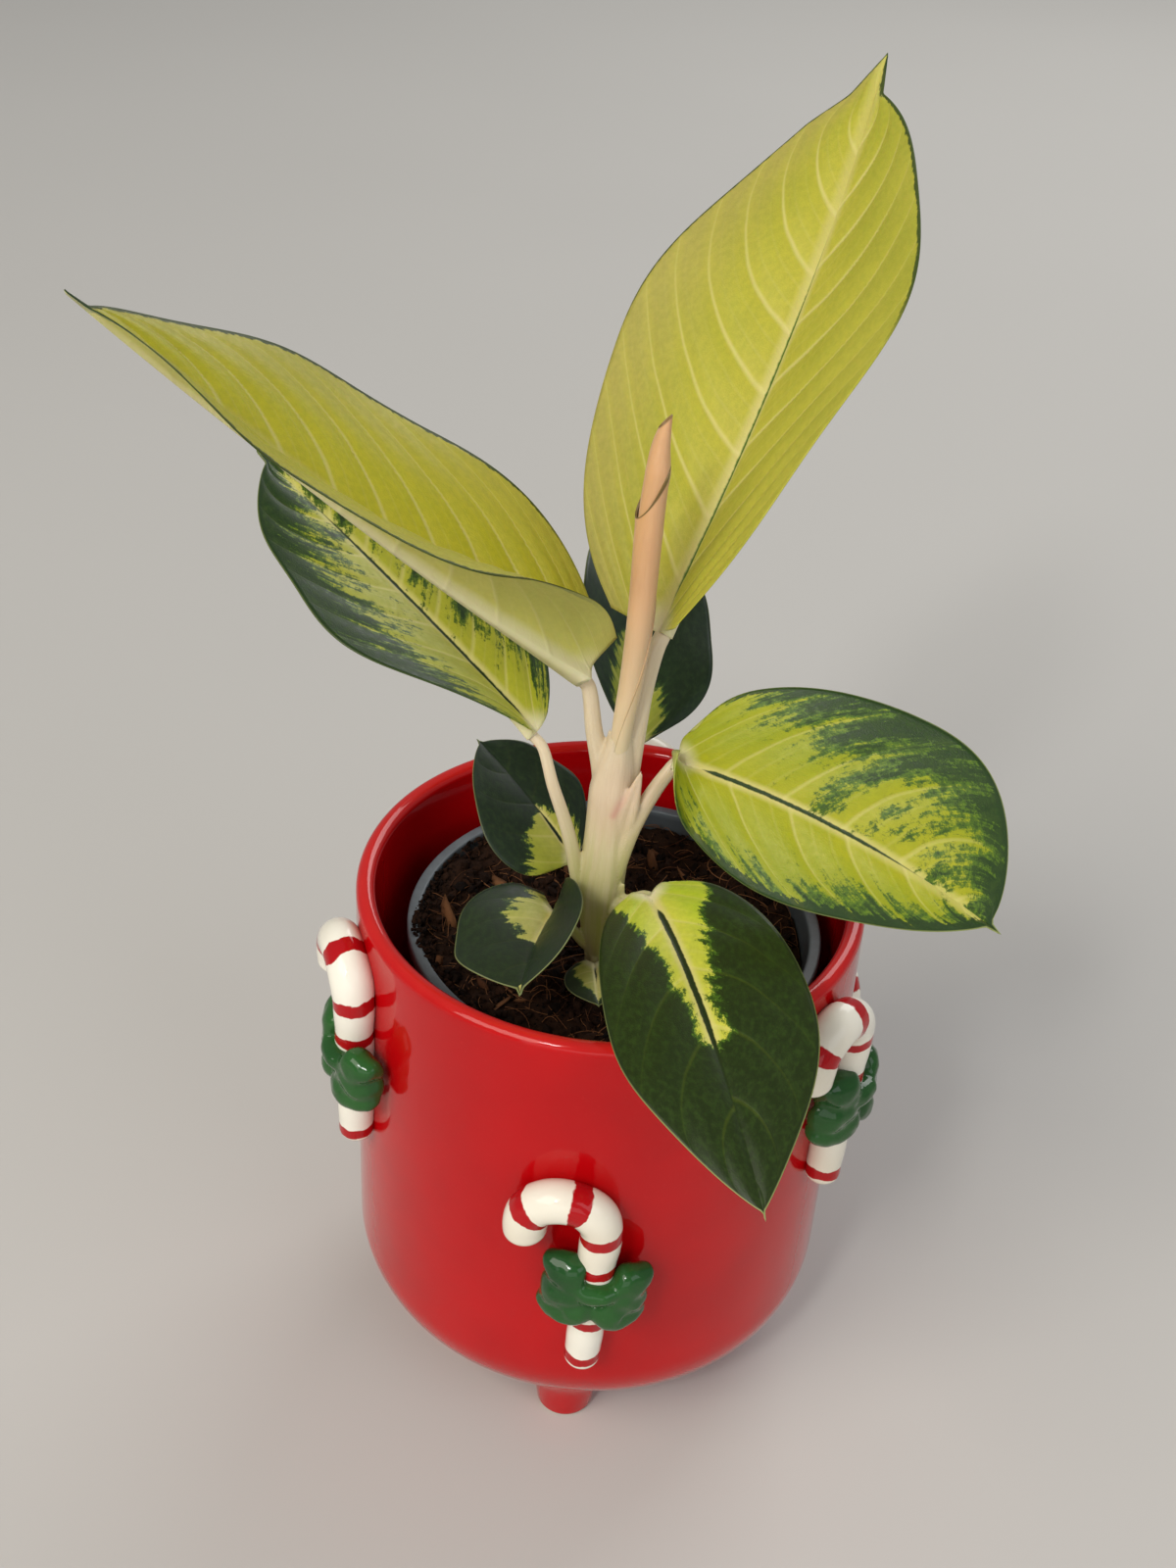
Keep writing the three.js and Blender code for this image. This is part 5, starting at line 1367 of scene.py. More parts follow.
def leaf_skin(leaf_name, upper):
    """The upper or the lower skin of one leaf."""
    leaf = LEAVES[leaf_name]
    marks = MARKINGS[leaf_name]
    count = VEIN_COUNT[leaf_name]
    size = (leaf["length"] / FULL_LENGTH) ** 0.5
    line_start, line_end, line_wide = marks["line"]
    margin_from = marks["margin"][2]
    yellow, light, middle, dark = [paint(code) for code in LEAF_COLOURS[leaf_name]]
    material, tree = new_material(leaf_name + ("_upper_cuticle" if upper else "_lower_cuticle"))

    # Where a point lies on the blade, and the numbers that each half has of its own
    vein_map = add(tree, "Attribute", {}, attribute_name="vein_map").outputs["Vector"]
    start, across, along = add(tree, "SeparateXYZ", {0: vein_map}).outputs
    ruler = add(tree, "Attribute", {}, attribute_name="blade_mm").outputs["Vector"]
    distance, sideways, edge = add(tree, "SeparateXYZ", {0: ruler}).outputs
    share = add(tree, "Math", {0: across}, operation="ABSOLUTE").outputs[0]
    side = add(tree, "Math", {0: across, 1: 0.0}, operation="GREATER_THAN").outputs[0]
    reach = add(tree, "Math", {0: sideways}, operation="ABSOLUTE").outputs[0]
    flat = add(tree, "CombineXYZ", {0: distance, 1: sideways}).outputs[0]
    from_base = add(tree, "VectorMath", {0: flat}, operation="LENGTH").outputs["Value"]
    chosen = []
    for left, right in (FIRST_VEIN, marks["streak"], marks["margin"][:2], marks["tan"]):
        half = add(tree, "Math", {0: side, 1: left - right, 2: right}, operation="MULTIPLY_ADD")
        chosen.append(half.outputs[0])
    first_vein, streak_size, margin_wide, tan_size = chosen

    # Noises, each with the size of its grain in millimetres and spread from -1 to 1
    file_start = add(tree, "Math", {0: start, 1: leaf["length"]}, operation="MULTIPLY").outputs[0]
    file_reach = add(tree, "Math", {0: reach, 1: 0.4}, operation="MULTIPLY").outputs[0]
    file_side = add(tree, "Math", {0: side, 1: 50.0}, operation="MULTIPLY").outputs[0]
    along_files = add(tree, "CombineXYZ", {0: file_start, 1: file_reach, 2: file_side}).outputs[0]
    noises = []
    for vector, grain, detail, roughness in (
        (ruler, 30, 2.0, 0.5), (ruler, 2.0, 4.0, 0.6), (ruler, 0.5, 2.0, 0.6),
        (along_files, 9.0, 2.0, 0.5), (along_files, 2.4, 5.0, 0.66),
    ):
        cloud = add(tree, "TexNoise", {"Vector": vector, "Scale": 1 / grain, "Detail": detail,
                                       "Roughness": roughness})
        spread = add(tree, "MapRange", {0: cloud.outputs[0], 1: 0.3, 2: 0.7, 3: -1.0, 4: 1.0})
        noises.append(spread.outputs[0])
    drift, mottle, cells, patches, files = noises

    # How far a point is from the nearest side vein and the nearest of the finer veins between
    wander = add(tree, "Math", {0: drift, 1: 0.04}, operation="MULTIPLY").outputs[0]
    grown = add(tree, "Math", {0: start, 1: count, 2: wander}, operation="MULTIPLY_ADD").outputs[0]
    counted = add(tree, "Math", {0: grown, 1: first_vein}, operation="ADD").outputs[0]
    finer = add(tree, "Math", {0: counted, 1: 3.0}, operation="MULTIPLY").outputs[0]
    offsets = []
    for number in (counted, finer):
        wrapped = add(tree, "Math", {0: number, 1: 0.5, 2: -0.5}, operation="WRAP")
        offset = add(tree, "Math", {0: wrapped.outputs[0]}, operation="ABSOLUTE")
        offsets.append(offset.outputs[0])
    spacing = 0.7 * leaf["length"] / count
    from_vein = add(tree, "Math", {0: offsets[0], 1: spacing}, operation="MULTIPLY").outputs[0]
    vein_wide = add(tree, "Math", {0: share, 1: -0.55 * size, 2: 1.15 * size},
                    operation="MULTIPLY_ADD").outputs[0]

    # Soft steps: what is measured, where the step begins and ends, and its two levels
    steps = {
        "before_tip": (along, *VEIN_END, 1.0, 0.0),
        "near_vein": (from_vein, 0.1, vein_wide, 1.0, 0.0),
        "vein_fade": (share, 0.2, 1.0, 1.0, 0.22),
        "round_vein": (from_vein, 0.0, 4.2 * size, 1.0, 0.0),
        "near_minor": (offsets[1], 0.0, 0.16, 1.0, 0.0),
        "minor_fade": (share, 0.1, 0.6, 1.0, 0.3),
        "finger": (patches, -0.9, 0.6, 0.35, 1.2),
        "line_begins": (along, line_start, line_start + 0.06, 0.0, 1.0),
        "line_ends": (along, line_end - 0.3, line_end, 1.0, 0.0),
        "near_rib": (reach, 0.5, 3.4 * size, 1.0, 0.0),
        "rib_fade": (along, 0.2, 1.0, 0.9, 0.4),
        "margin_begins": (along, margin_from, margin_from + 0.17, 0.0, 1.0),
        "near_edge": (edge, 0.1, 0.35, marks["pale_edge"], 0.0),
        "edge_begins": (along, 0.2, 0.9, 0.3, 1.0),
        "near_base": (from_base, 1.0, 0.035 * leaf["length"] + 4.0, 0.85, 0.0),
        "cloudy": (drift, -1.0, 1.0, 0.0, 0.35),
        "inner_part": (share, 0.0, 0.55, 0.65, 0.0),
        "outer_part": (share, 0.3, 1.05, 0.0, 1.0),
        "yellow_fleck": (mottle, -1.0, 1.0, 0.0, 0.16),
        "dark_fleck": (mottle, -0.6, 1.4, 0.0, 0.18),
        "green_fleck": (mottle, -1.0, 1.0, 0.0, 0.5),
        "gloss": (mottle, -1.0, 1.0, 0.34 if upper else 0.52, 0.46 if upper else 0.62),
    }
    soft = {name: add(tree, "MapRange", dict(enumerate(step)), interpolation_type="SMOOTHSTEP").outputs[0]
            for name, step in steps.items()}
    vein = add(tree, "Math", {0: soft["near_vein"], 1: soft["vein_fade"]}, operation="MULTIPLY").outputs[0]
    vein = add(tree, "Math", {0: vein, 1: soft["before_tip"]}, operation="MULTIPLY").outputs[0]
    glow = add(tree, "Math", {0: soft["round_vein"], 1: soft["before_tip"]}, operation="MULTIPLY").outputs[0]
    minor = add(tree, "Math", {0: soft["near_minor"], 1: soft["minor_fade"]},
                operation="MULTIPLY").outputs[0]
    rib = add(tree, "Math", {0: soft["near_rib"], 1: soft["rib_fade"]}, operation="MULTIPLY").outputs[0]
    pale = add(tree, "Math", {0: soft["near_edge"], 1: soft["edge_begins"]}, operation="MULTIPLY").outputs[0]

    # The ragged border between yellow and green, drawn out along the veins
    limit = add(tree, "Mix", {0: side, 2: side_curve(tree, along, marks["right"]),
                              3: side_curve(tree, along, marks["left"])}, data_type="FLOAT").outputs[0]
    past_limit = add(tree, "Math", {0: share, 1: limit}, operation="SUBTRACT").outputs[0]
    fine_files = add(tree, "Math", {0: files, 1: 0.5}, operation="MULTIPLY").outputs[0]
    all_files = add(tree, "Math", {0: patches, 1: 0.55, 2: fine_files}, operation="MULTIPLY_ADD").outputs[0]
    streaks = add(tree, "Math", {0: all_files, 1: streak_size}, operation="MULTIPLY").outputs[0]
    streaked = add(tree, "Math", {0: streaks, 1: past_limit}, operation="ADD").outputs[0]
    grains = add(tree, "Math", {0: cells, 1: 0.35, 2: mottle}, operation="MULTIPLY_ADD").outputs[0]
    ragged = add(tree, "Math", {0: grains, 1: GRAIN.get(leaf_name, 0.03), 2: streaked},
                 operation="MULTIPLY_ADD").outputs[0]
    fingers = add(tree, "Math", {0: glow, 1: soft["finger"]}, operation="MULTIPLY").outputs[0]
    border = add(tree, "Math", {0: fingers, 1: -marks["pull"], 2: ragged},
                 operation="MULTIPLY_ADD").outputs[0]

    # The dark line along the midrib and the green margin
    line_here = add(tree, "Math", {0: soft["line_begins"], 1: soft["line_ends"]},
                    operation="MULTIPLY").outputs[0]
    line_wide = add(tree, "Math", {0: files, 1: 0.14, 2: line_wide * 0.6},
                    operation="MULTIPLY_ADD").outputs[0]
    line_reach = add(tree, "Math", {0: line_here, 1: line_wide}, operation="MULTIPLY").outputs[0]
    past_line = add(tree, "Math", {0: reach, 1: line_reach}, operation="SUBTRACT").outputs[0]
    uneven = add(tree, "Math", {0: mottle, 1: 0.3, 2: 1.0}, operation="MULTIPLY_ADD").outputs[0]
    uneven = add(tree, "Math", {0: files, 1: 0.4, 2: uneven}, operation="MULTIPLY_ADD").outputs[0]
    margin_reach = add(tree, "Math", {0: margin_wide, 1: uneven}, operation="MULTIPLY").outputs[0]
    past_margin = add(tree, "Math", {0: edge, 1: margin_reach}, operation="SUBTRACT").outputs[0]
    steps = {
        "half_green": (border, -marks["soft"] - 0.015, 0.01, 0.0, 1.0),
        "full_green": (border, 0.0, marks["soft"] + 0.03, 0.0, 1.0),
        "on_line": (past_line, -0.3, 0.12, 1.0, 0.0),
        "line_there": (line_here, 0.02, 0.2, 0.0, 1.0),
        "on_margin": (past_margin, -0.15, 0.2, 1.0, 0.0),
    }
    for name, step in steps.items():
        made = add(tree, "MapRange", dict(enumerate(step)), interpolation_type="SMOOTHSTEP")
        soft[name] = made.outputs[0]
    line = add(tree, "Math", {0: soft["on_line"], 1: soft["line_there"]}, operation="MULTIPLY").outputs[0]
    margin = add(tree, "Math", {0: soft["on_margin"], 1: soft["margin_begins"]},
                 operation="MULTIPLY").outputs[0]

    # The colours, laid over each other
    faint = VEINS_ON_GREEN.get(leaf_name, 0.12)
    warm = layered(tree, yellow, [
        (soft["cloudy"], 1.0, light), (soft["inner_part"], 1.0, light),
        (soft["outer_part"], tan_size, paint(EDGE_TINT.get(leaf_name, TAN))),
        (soft["yellow_fleck"], 1.0, middle), (glow, 0.2, light), (minor, 0.1, paint(PALE_VEIN)),
        (vein, VEINS_ON_YELLOW.get(leaf_name, 0.25), paint(PALE_VEIN)), (rib, 1.0, paint(PALE_VEIN)),
    ])
    deep = layered(tree, dark, [
        (soft["dark_fleck"], 1.0, middle), (vein, 0.14 * faint, yellow), (glow, 0.08 * faint, middle),
    ])
    green = layered(tree, middle, [(soft["green_fleck"], 1.0, dark)])
    colour = layered(tree, warm, [
        (soft["half_green"], 1.0, green), (soft["full_green"], 1.0, deep), (margin, 0.92, dark),
        (line, 1.0, middle if leaf_name == "leaf_top_right" else dark), (pale, 0.75, paint(PALE_EDGE)),
        (soft["near_base"], 1.0, paint(CREAM)),
    ])
    if not upper:
        dull = add(tree, "MapRange", {0: soft["full_green"], 1: 0.0, 2: 1.0, 3: 0.5, 4: 0.3},
                   interpolation_type="SMOOTHSTEP")
        colour = layered(tree, colour, [
            (dull.outputs[0], 1.0, paint(UNDERSIDE)), (rib, 0.7, paint(CREAM)),
        ])

    relief = add(tree, "Math", {0: cells, 1: 0.1}, operation="MULTIPLY").outputs[0]
    for mask, height in ((vein, -0.5 if upper else 0.6), (minor, -0.15 if upper else 0.2)):
        relief = add(tree, "Math", {0: mask, 1: height, 2: relief}, operation="MULTIPLY_ADD").outputs[0]
    lift = add(tree, "Bump", {"Height": relief, "Strength": 0.45 * RELIEF.get(leaf_name, 1.0),
                              "Distance": 0.35 * MM})
    shader = add(tree, "BsdfPrincipled", {
        "Base Color": colour,
        "Roughness": soft["gloss"],
        "IOR": 1.42,
        "Specular IOR Level": 0.3 if upper else 0.22,
        "Subsurface Weight": 0.2,
        "Subsurface Radius": (0.5, 1.0, 0.25),
        "Subsurface Scale": 0.9 * MM,
        "Normal": lift.outputs[0],
    })
    finish(tree, shader)
    return material


for leaf_name in LEAVES:
    blade = blade_piece(leaf_name)
    place_piece(blade, leaf_name, [leaf_skin(leaf_name, True), leaf_skin(leaf_name, False)])

# %% [markdown]
# With the blades in place, each petiole can be led to the underside of its own blade. Its upper
# side is slightly hollow, like a shallow gutter, and lower down it broadens into the sheath.

# %% Stem and petioles
GUTTER = 0.16
STEM_VOXEL = 0.4
STEM_SMOOTHING = 3
PETIOLE_SIDES = 32
SHAFT_SIDES = 48
SHAFT_FIBRE_RADIUS = 5.5
FIBRE_STRETCH = 0.05


def fibre_map(rings, radius):
    """Numbers that change quickly round a bar and slowly along it, for its fine lines."""
    rows, sides = rings.shape[:2]
    angles = np.linspace(0, TURN, sides, endpoint=False)
    walked = np.insert(np.cumsum(np.linalg.norm(np.diff(rings.mean(1), axis=0), axis=1)), 0, 0)
    around = np.stack([np.cos(angles) * radius, np.sin(angles) * radius], -1)
    tags = np.zeros((rows, sides, 3))
    tags[..., :2] = around
    tags[..., 2] = walked[:, None] * FIBRE_STRETCH
    return np.vstack([tags.reshape(-1, 3), tags[0, :1], tags[-1, :1]])


def guttered(angle, share):
    """A petiole's section, hollowed along its upper side away from the stem."""
    return 1 - GUTTER * np.clip(np.sin(angle), 0, 1) ** 3 * np.clip(share * 2, 0, 1)


def lobed(angle, share):
    """The shaft's section, with low lobes where one sheath wraps the next."""
    return 1 + 0.05 * np.sin(2 * angle + 5 * share) + 0.03 * np.sin(5 * angle)


def flattened(angle, share):
    """A sheath tip's section, flatter the nearer it is to its point."""
    return 1 - (0.45 + 0.3 * share) * np.sin(angle) ** 2


def petiole_bar(leaf_name):
    """A petiole from the stem to the underside of its blade."""
    route, (low, high) = PETIOLES[leaf_name]
    leaf = LEAVES[leaf_name]
    points, forward, _, out = [values[0] for values in midrib(leaf)]
    end = points - forward * 0.4 - out * (BLADE_DEPTH + 0.3 + 0.8 * high)
    near = [end - forward * min(3, 0.04 * leaf["length"])] if leaf["rise"] > 5 else []
    into = end + forward * min(9, 0.09 * leaf["length"]) + out * 0.3 * high
    stops = [*np.array(route, float), *near, end, into]
    line = smooth_curve(stops, max(12, int(np.linalg.norm(end - stops[0]))))[0]
    share = np.linspace(0, 1, len(line))
    radii = low + (high - low) * np.clip(share * 1.1, 0, 1)
    radii *= np.clip((1 - share) * 9, 0.12, 1) ** 0.5
    rings = bar_rings(line, radii, PETIOLE_SIDES, (0.3, -1, 0.1), guttered)
    return rings, fibre_map(rings, (low + high) / 2)


def shaft_bar():
    """The stack of sheaths that looks like a stem."""
    line = smooth_curve([at for at, _ in STEM_ROUTE], 110)[0]
    heights = [at[2] for at, _ in STEM_ROUTE]
    radii = np.interp(line[:, 2], heights, [radius for _, radius in STEM_ROUTE])
    rings = bar_rings(line, radii, SHAFT_SIDES, (1, 0, 0), lobed)
    return rings, fibre_map(rings, SHAFT_FIBRE_RADIUS)


def sheath_bar(start, middle, end, widths):
    """A free sheath tip: a thin flap that faces forward and narrows to a point."""
    line = smooth_curve([start, middle, end], 30)[0]
    share = np.linspace(0, 1, len(line))
    radii = np.interp(share, (0, 0.55, 1), (*widths, 0.4))
    rings = bar_rings(line, radii, PETIOLE_SIDES, (0, -1, 0), flattened)
    return rings, fibre_map(rings, widths[0])


bars = [shaft_bar(), *[petiole_bar(leaf_name) for leaf_name in LEAVES]]
bars += [sheath_bar(*tip) for tip in SHEATH_TIPS]
stem = make_object("sheathed_stem", *merge([closed_tube(rings) for rings, _ in bars]))
source_points = (np.array([vertex.co[:] for vertex in stem.data.vertices]) - AXIS) / MM
source_tags = np.vstack([tags for _, tags in bars])
melt(stem, STEM_VOXEL, STEM_SMOOTHING, "sheathed_stem")
tree_of_points = kdtree.KDTree(len(source_points))
for i, point in enumerate(source_points):
    tree_of_points.insert(point, i)
tree_of_points.balance()
stem_points = (np.array([vertex.co[:] for vertex in stem.data.vertices]) - AXIS) / MM
stem_tags = [source_tags[tree_of_points.find(point)[1]] for point in stem_points]
set_attribute(stem, "fibre_map", stem_tags)
fold_line = smooth_curve(SHEATH_FOLD, 40)[0]
from_fold = np.linalg.norm(stem_points[:, None] - fold_line[None], axis=2).min(1)
blush = 0.55 * np.exp(-((from_fold / BLUSH_LINE) ** 2)) + 0.2 * np.exp(-((from_fold / BLUSH_HALO) ** 2))
set_attribute(stem, "sheath_fold", np.stack([blush, blush, blush], -1))
print("bars in the stem:", len(bars), "- points after melting:", len(stem_points))

# %% [markdown]
# The petioles of this plant are almost without pigment: ivory, waxy and slightly see-through,
# with a breath of green in the older sheaths and of pink along their edges. Fine ridges run
# along them about a third of a millimetre apart.

# %% Petiole skin


def petiole_skin():
    """Ivory skin with fine ridges, greener and duller low down and pink along the fold."""
    material, tree = new_material("ivory_petiole")
    place = add(tree, "TexCoord", {}).outputs["Object"]
    height = add(tree, "SeparateXYZ", {0: place}).outputs["Z"]
    fibres = add(tree, "Attribute", {}, attribute_name="fibre_map").outputs["Vector"]
    ridges = add(tree, "TexNoise", {"Vector": fibres, "Scale": 2.2, "Detail": 3.0})
    broad = add(tree, "TexNoise", {"Vector": fibres, "Scale": 0.5, "Detail": 2.0})
    fold = add(tree, "Attribute", {}, attribute_name="sheath_fold").outputs["Vector"]
    near_fold = add(tree, "SeparateXYZ", {0: fold}).outputs["X"]
    ivory = add(tree, "Mix", {0: ridges.outputs[0], 6: paint("#E3D5B6"), 7: paint("#CDB896")},
                data_type="RGBA")
    low = add(tree, "MapRange", {0: height, 1: 160 * MM, 2: 200 * MM, 3: 1.6, 4: 0.0})
    green_share = add(tree, "Math", {0: low.outputs[0], 1: broad.outputs[0]}, operation="MULTIPLY")
    tinted = add(tree, "Mix", {0: green_share.outputs[0], 6: ivory.outputs[2], 7: paint("#A9AE58")},
                 data_type="RGBA")
    blushed = add(tree, "Mix", {0: near_fold, 6: tinted.outputs[2], 7: paint("#C98F80")},
                  data_type="RGBA")
    # The stem is painted darker and browner towards the soil, over its lowest part from 158 down to 142 mm.
    darker_near_soil = add(tree, "MapRange", {0: height, 1: 142 * MM, 2: 158 * MM, 3: 0.6, 4: 0.0})
    colour = add(tree, "Mix", {0: darker_near_soil.outputs[0], 6: blushed.outputs[2], 7: paint("#8E7A5C")},
                 data_type="RGBA")
    lift = add(tree, "Bump", {"Height": ridges.outputs[0], "Strength": 0.35, "Distance": 0.25 * MM})
    shader = add(tree, "BsdfPrincipled", {
        "Base Color": colour.outputs[2], "Roughness": 0.42, "IOR": 1.42,
        "Subsurface Weight": 0.35, "Subsurface Radius": (1.0, 0.8, 0.5), "Subsurface Scale": 1.5 * MM,
        "Normal": lift.outputs[0],
    })
    finish(tree, shader)
    return material


place_piece(stem, "stem", [petiole_skin()])

# %% [markdown]
# The newest leaf is still rolled up like a scroll. Its outer edge winds round it as a low step
# and opens near the top into a slanted mouth, from which the inner turns stand out. The scroll
# is built the way it grows: an outer roll with a step in its section, and a thinner inner roll.

# %% Rolled new leaf
SPEAR_ROUTE = [
    ([-0.8, -10.2, 209], 2.3), ([-0.4, -10, 220], 2.7), ([1.2, -8, 235], 3.1), ([2.4, -6, 254], 3.45),
    ([2.8, -4, 275], 3.6), ([3.3, -2, 290], 3.5), ([4.2, -0.4, 298], 2.8), ([4.9, 0.4, 302.4], 2.1),
]
SPEAR_TWIST = 0.7
SPEAR_STEP = 0.4
SPEAR_ROWS = 140
OUTER_SIDES = 60
INNER_SIDES = 52
MOUTH_SHARE = 0.82
MOUTH_SLANT = 6.5
MOUTH_DIP = 2.2
INNER_START = 0.55
INNER_SIZE = 0.8
INNER_BULGE = 0.7
TOP_SLANT = 2.3


def spear_line(count):
    """Points along the middle of the scroll, the radius at each, and the length."""
    line, length = smooth_curve([at for at, _ in SPEAR_ROUTE], count)
    radii = np.interp(line[:, 2], [at[2] for at, _ in SPEAR_ROUTE], [r for _, r in SPEAR_ROUTE])
    return line, radii, length


def roll_section(line, radii, sides, step, twist):
    """Rings of a scroll, whose free edge is a step that winds round the line."""
    tangent = np.gradient(line, axis=0)
    tangent /= np.linalg.norm(tangent, axis=1)[:, None]
    side = np.cross(tangent, (0, -1, 0))
    side /= np.linalg.norm(side, axis=1)[:, None]
    front = np.cross(side, tangent)
    lap = np.linspace(0, 1, sides)
    rings = []
    for i, share in enumerate(np.linspace(0, 1, len(line))):
        angle = TURN * (lap - twist * share) + 2.4
        reach = radii[i] + step * (lap - 0.5)
        turned = np.cos(angle)[:, None] * side[i] + np.sin(angle)[:, None] * front[i]
        rings.append(line[i] + reach[:, None] * turned)
    return np.array(rings)


def outer_roll():
    """The outer turns, cut off at a slant, with the dark free edge marked."""
    line, radii, _ = spear_line(SPEAR_ROWS)
    rows = int(MOUTH_SHARE * len(line))
    flare = 1 + 0.13 * np.clip((np.arange(rows) / rows - 0.84) / 0.16, 0, 1) ** 2
    rings = roll_section(line[:rows], radii[:rows] * flare, OUTER_SIDES, SPEAR_STEP, SPEAR_TWIST)
    middle = rings.mean(1, keepdims=True)
    near = np.clip((np.arange(rows) / rows - 0.8) / 0.2, 0, 1)[:, None] ** 1.5
    offset = (rings - middle) / radii[:rows, None, None]
    rings[..., 2] += near * (MOUTH_SLANT * offset[..., 0] + MOUTH_DIP * offset[..., 1])
    lips = [middle[-1] + (rings[-1] - middle[-1]) * (share, share, 1.0) for share in (0.93, 0.86)]
    deep = lips[-1] * (1, 1, 0) + (0, 0, middle[-1, 0, 2] - 12.0)
    tags = np.zeros((rows + 3, OUTER_SIDES, 3))
    tags[rows - 2 : rows + 2, :, 0] = 1.0
    tags[:rows, -1, 0] = 0.55
    return np.concatenate([rings, np.array(lips), deep[None]]), tags


def inner_roll():
    """The inner turns, which stand out of the mouth and end in a slanted top."""
    line, radii, _ = spear_line(SPEAR_ROWS)
    first = int(INNER_START * len(line))
    bulge = np.exp(-(((np.linspace(0, 1, len(line)) - 0.86) / 0.06) ** 2))
    line = line + np.array([INNER_BULGE, -0.2, 0]) * bulge[:, None]
    radii = radii * (INNER_SIZE + 0.1 * bulge)
    rings = roll_section(line[first:], radii[first:], INNER_SIDES, SPEAR_STEP, -0.5)
    middle = rings.mean(1, keepdims=True)
    near = np.clip((np.arange(len(rings)) / len(rings) - 0.75) / 0.25, 0, 1)[:, None]
    rings[..., 2] += near * TOP_SLANT * (rings - middle)[..., 0] / radii[first:, None]
    hollow = middle[-1] + (rings[-1] - middle[-1]) * 0.55 - (0, 0, 1.6)
    tags = np.zeros((len(rings) + 1, INNER_SIDES, 3))
    tags[-2:, :, 0] = 0.8
    tags[:, -1, 0] = 0.6
    return np.concatenate([rings, hollow[None]]), tags


rolls = [outer_roll(), inner_roll()]
roll_tags = [np.vstack([tags.reshape(-1, 3), tags[0, :1], tags[-1, :1]]) for _, tags in rolls]
scroll = make_object("rolled_leaf", *merge([closed_tube(rings) for rings, _ in rolls]))
set_attribute(scroll, "scroll_edge", np.vstack(roll_tags))
scroll.data.set_sharp_from_angle(angle=math.radians(60))
print("scroll length:", round(spear_line(SPEAR_ROWS)[2], 1), "mm")

# %% [markdown]
# A leaf that has not opened yet has a papery, peach coloured outside. It is matt with a faint
# sheen, and darker along the free edge, where it has begun to dry.

# %% New leaf skin


def new_leaf_skin():
    """Papery peach with long faint veins, paler at the foot and brown along the free edge."""
    material, tree = new_material("peach_new_leaf")
    place = add(tree, "TexCoord", {}).outputs["Object"]
    height = add(tree, "SeparateXYZ", {0: place}).outputs["Z"]
    long_lines = add(tree, "Mapping", {0: place, "Scale": (1, 1, 0.06)})
    veins = add(tree, "TexNoise", {"Vector": long_lines.outputs[0], "Scale": 1 / (0.9 * MM),
                                   "Detail": 3.0})
    patches = add(tree, "TexNoise", {"Vector": place, "Scale": 1 / (6 * MM), "Detail": 3.0})
    peach = add(tree, "Mix", {0: veins.outputs[0], 6: paint("#D8AE84"), 7: paint("#C49466")},
                data_type="RGBA")
    tan = add(tree, "Mix", {0: patches.outputs[0], 6: peach.outputs[2], 7: paint("#D6A576")},
              data_type="RGBA")
    fade = add(tree, "MapRange", {0: height, 1: 214 * MM, 2: 262 * MM, 3: 0.85, 4: 0.0})
    faded = add(tree, "Mix", {0: fade.outputs[0], 6: tan.outputs[2], 7: paint("#DFD0A8")},
                data_type="RGBA")
    tag = add(tree, "Attribute", {}, attribute_name="scroll_edge").outputs["Vector"]
    dried = add(tree, "SeparateXYZ", {0: tag}).outputs["X"]
    colour = add(tree, "Mix", {0: dried, 6: faded.outputs[2], 7: paint("#6A5628")}, data_type="RGBA")
    lift = add(tree, "Bump", {"Height": veins.outputs[0], "Strength": 0.3, "Distance": 0.2 * MM})
    shader = add(tree, "BsdfPrincipled", {
        "Base Color": colour.outputs[2], "Roughness": 0.5, "IOR": 1.42, "Sheen Weight": 0.15,
        "Subsurface Weight": 0.25, "Subsurface Radius": (1.0, 0.6, 0.3), "Subsurface Scale": 1.2 * MM,
        "Normal": lift.outputs[0],
    })
    finish(tree, shader)
    return material


place_piece(scroll, "new_leaf_spear", [new_leaf_skin()])

# %% [markdown]
# The studio is plain: a pale floor and soft light. One big soft box stands high on the left, as
# a window would, with a small one beside it for the sharp glints on the glaze. A weaker one
# fills from the right, a low one lights the wall from the front, and one at the back gives the
# leaves a bright edge.

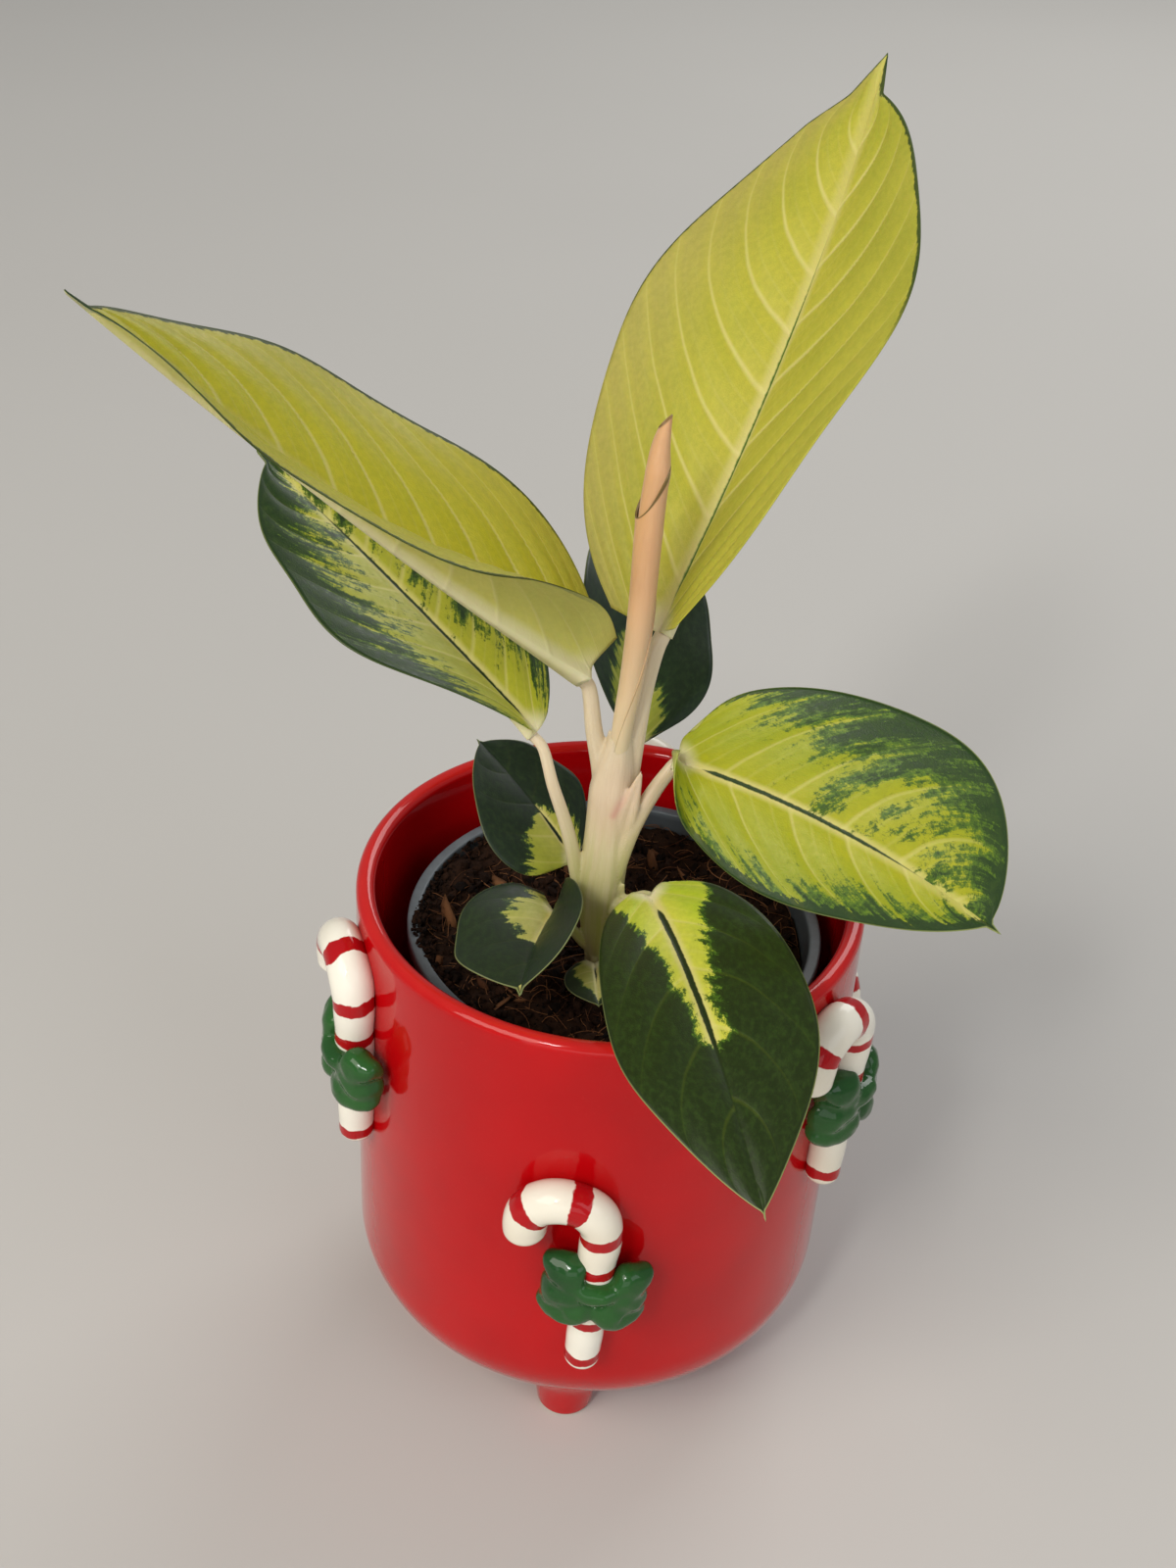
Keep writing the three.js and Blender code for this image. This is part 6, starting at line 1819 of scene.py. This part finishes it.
# %% Floor and light
LIGHTS = [
    {"name": "window", "at": (-1500, -1500, 2000), "size": (1700, 1700), "power": 46, "colour": "#FFF8EE"},
    {"name": "glint", "at": (-650, -1500, 1650), "size": (220, 320), "power": 9, "colour": "#FFFFFF"},
    {"name": "fill", "at": (1800, -1500, 1700), "size": (2000, 1600), "power": 17, "colour": "#F2F5FF"},
    {"name": "low", "at": (-300, -2400, 700), "size": (2200, 1000), "power": 8, "colour": "#FFFFFF"},
    {"name": "back", "at": (900, 1800, 1500), "size": (1400, 1000), "power": 18, "colour": "#FFFFFF"},
]
LIGHTS_AIM = (0, 0, 150)
SKY_COLOUR = "#E9ECEF"
SKY_STRENGTH = 0.33
FLOOR_HALF = 5000 * MM


def studio_floor():
    """A pale matt sheet with the faintest clouding."""
    material, tree = new_material("pale_studio_floor")
    place = add(tree, "TexCoord", {}).outputs["Object"]
    cloud = add(tree, "TexNoise", {"Vector": place, "Scale": 2.0, "Detail": 2.0})
    tone = add(tree, "Mix", {0: cloud.outputs[0], 6: paint("#BFBCB6"), 7: paint("#C5C2BC")},
               data_type="RGBA")
    shader = add(tree, "BsdfPrincipled", {"Base Color": tone.outputs[2], "Roughness": 0.7})
    finish(tree, shader)
    return material


floor_mesh = bpy.data.meshes.new("floor")
floor_mesh.from_pydata([(-FLOOR_HALF, -FLOOR_HALF, 0), (FLOOR_HALF, -FLOOR_HALF, 0),
                        (FLOOR_HALF, FLOOR_HALF, 0), (-FLOOR_HALF, FLOOR_HALF, 0)], [], [(0, 1, 2, 3)])
floor = bpy.data.objects.new("floor", floor_mesh)
floor.data.materials.append(studio_floor())
bpy.context.scene.collection.objects.link(floor)

for spec in LIGHTS:
    data = bpy.data.lights.new(spec["name"], "AREA")
    data.shape = "RECTANGLE"
    data.size, data.size_y = [side * MM for side in spec["size"]]
    data.energy = spec["power"]
    data.color = paint(spec["colour"])[:3]
    light = bpy.data.objects.new(spec["name"], data)
    light.location = world_point(spec["at"])
    aim_at = world_point(LIGHTS_AIM) - light.location
    light.rotation_euler = aim_at.to_track_quat("-Z", "Y").to_euler()
    bpy.context.scene.collection.objects.link(light)

world = bpy.data.worlds.new("studio")
world.use_nodes = True
sky = world.node_tree.nodes["Background"]
sky.inputs["Color"].default_value = paint(SKY_COLOUR)
sky.inputs["Strength"].default_value = SKY_STRENGTH
bpy.context.scene.world = world
bpy.context.scene.view_settings.view_transform = "Standard"
print("lights:", [spec["name"] for spec in LIGHTS])

# %% [markdown]
# Last, the scene is brought up to date.

# %% Finish
bpy.context.view_layer.update()
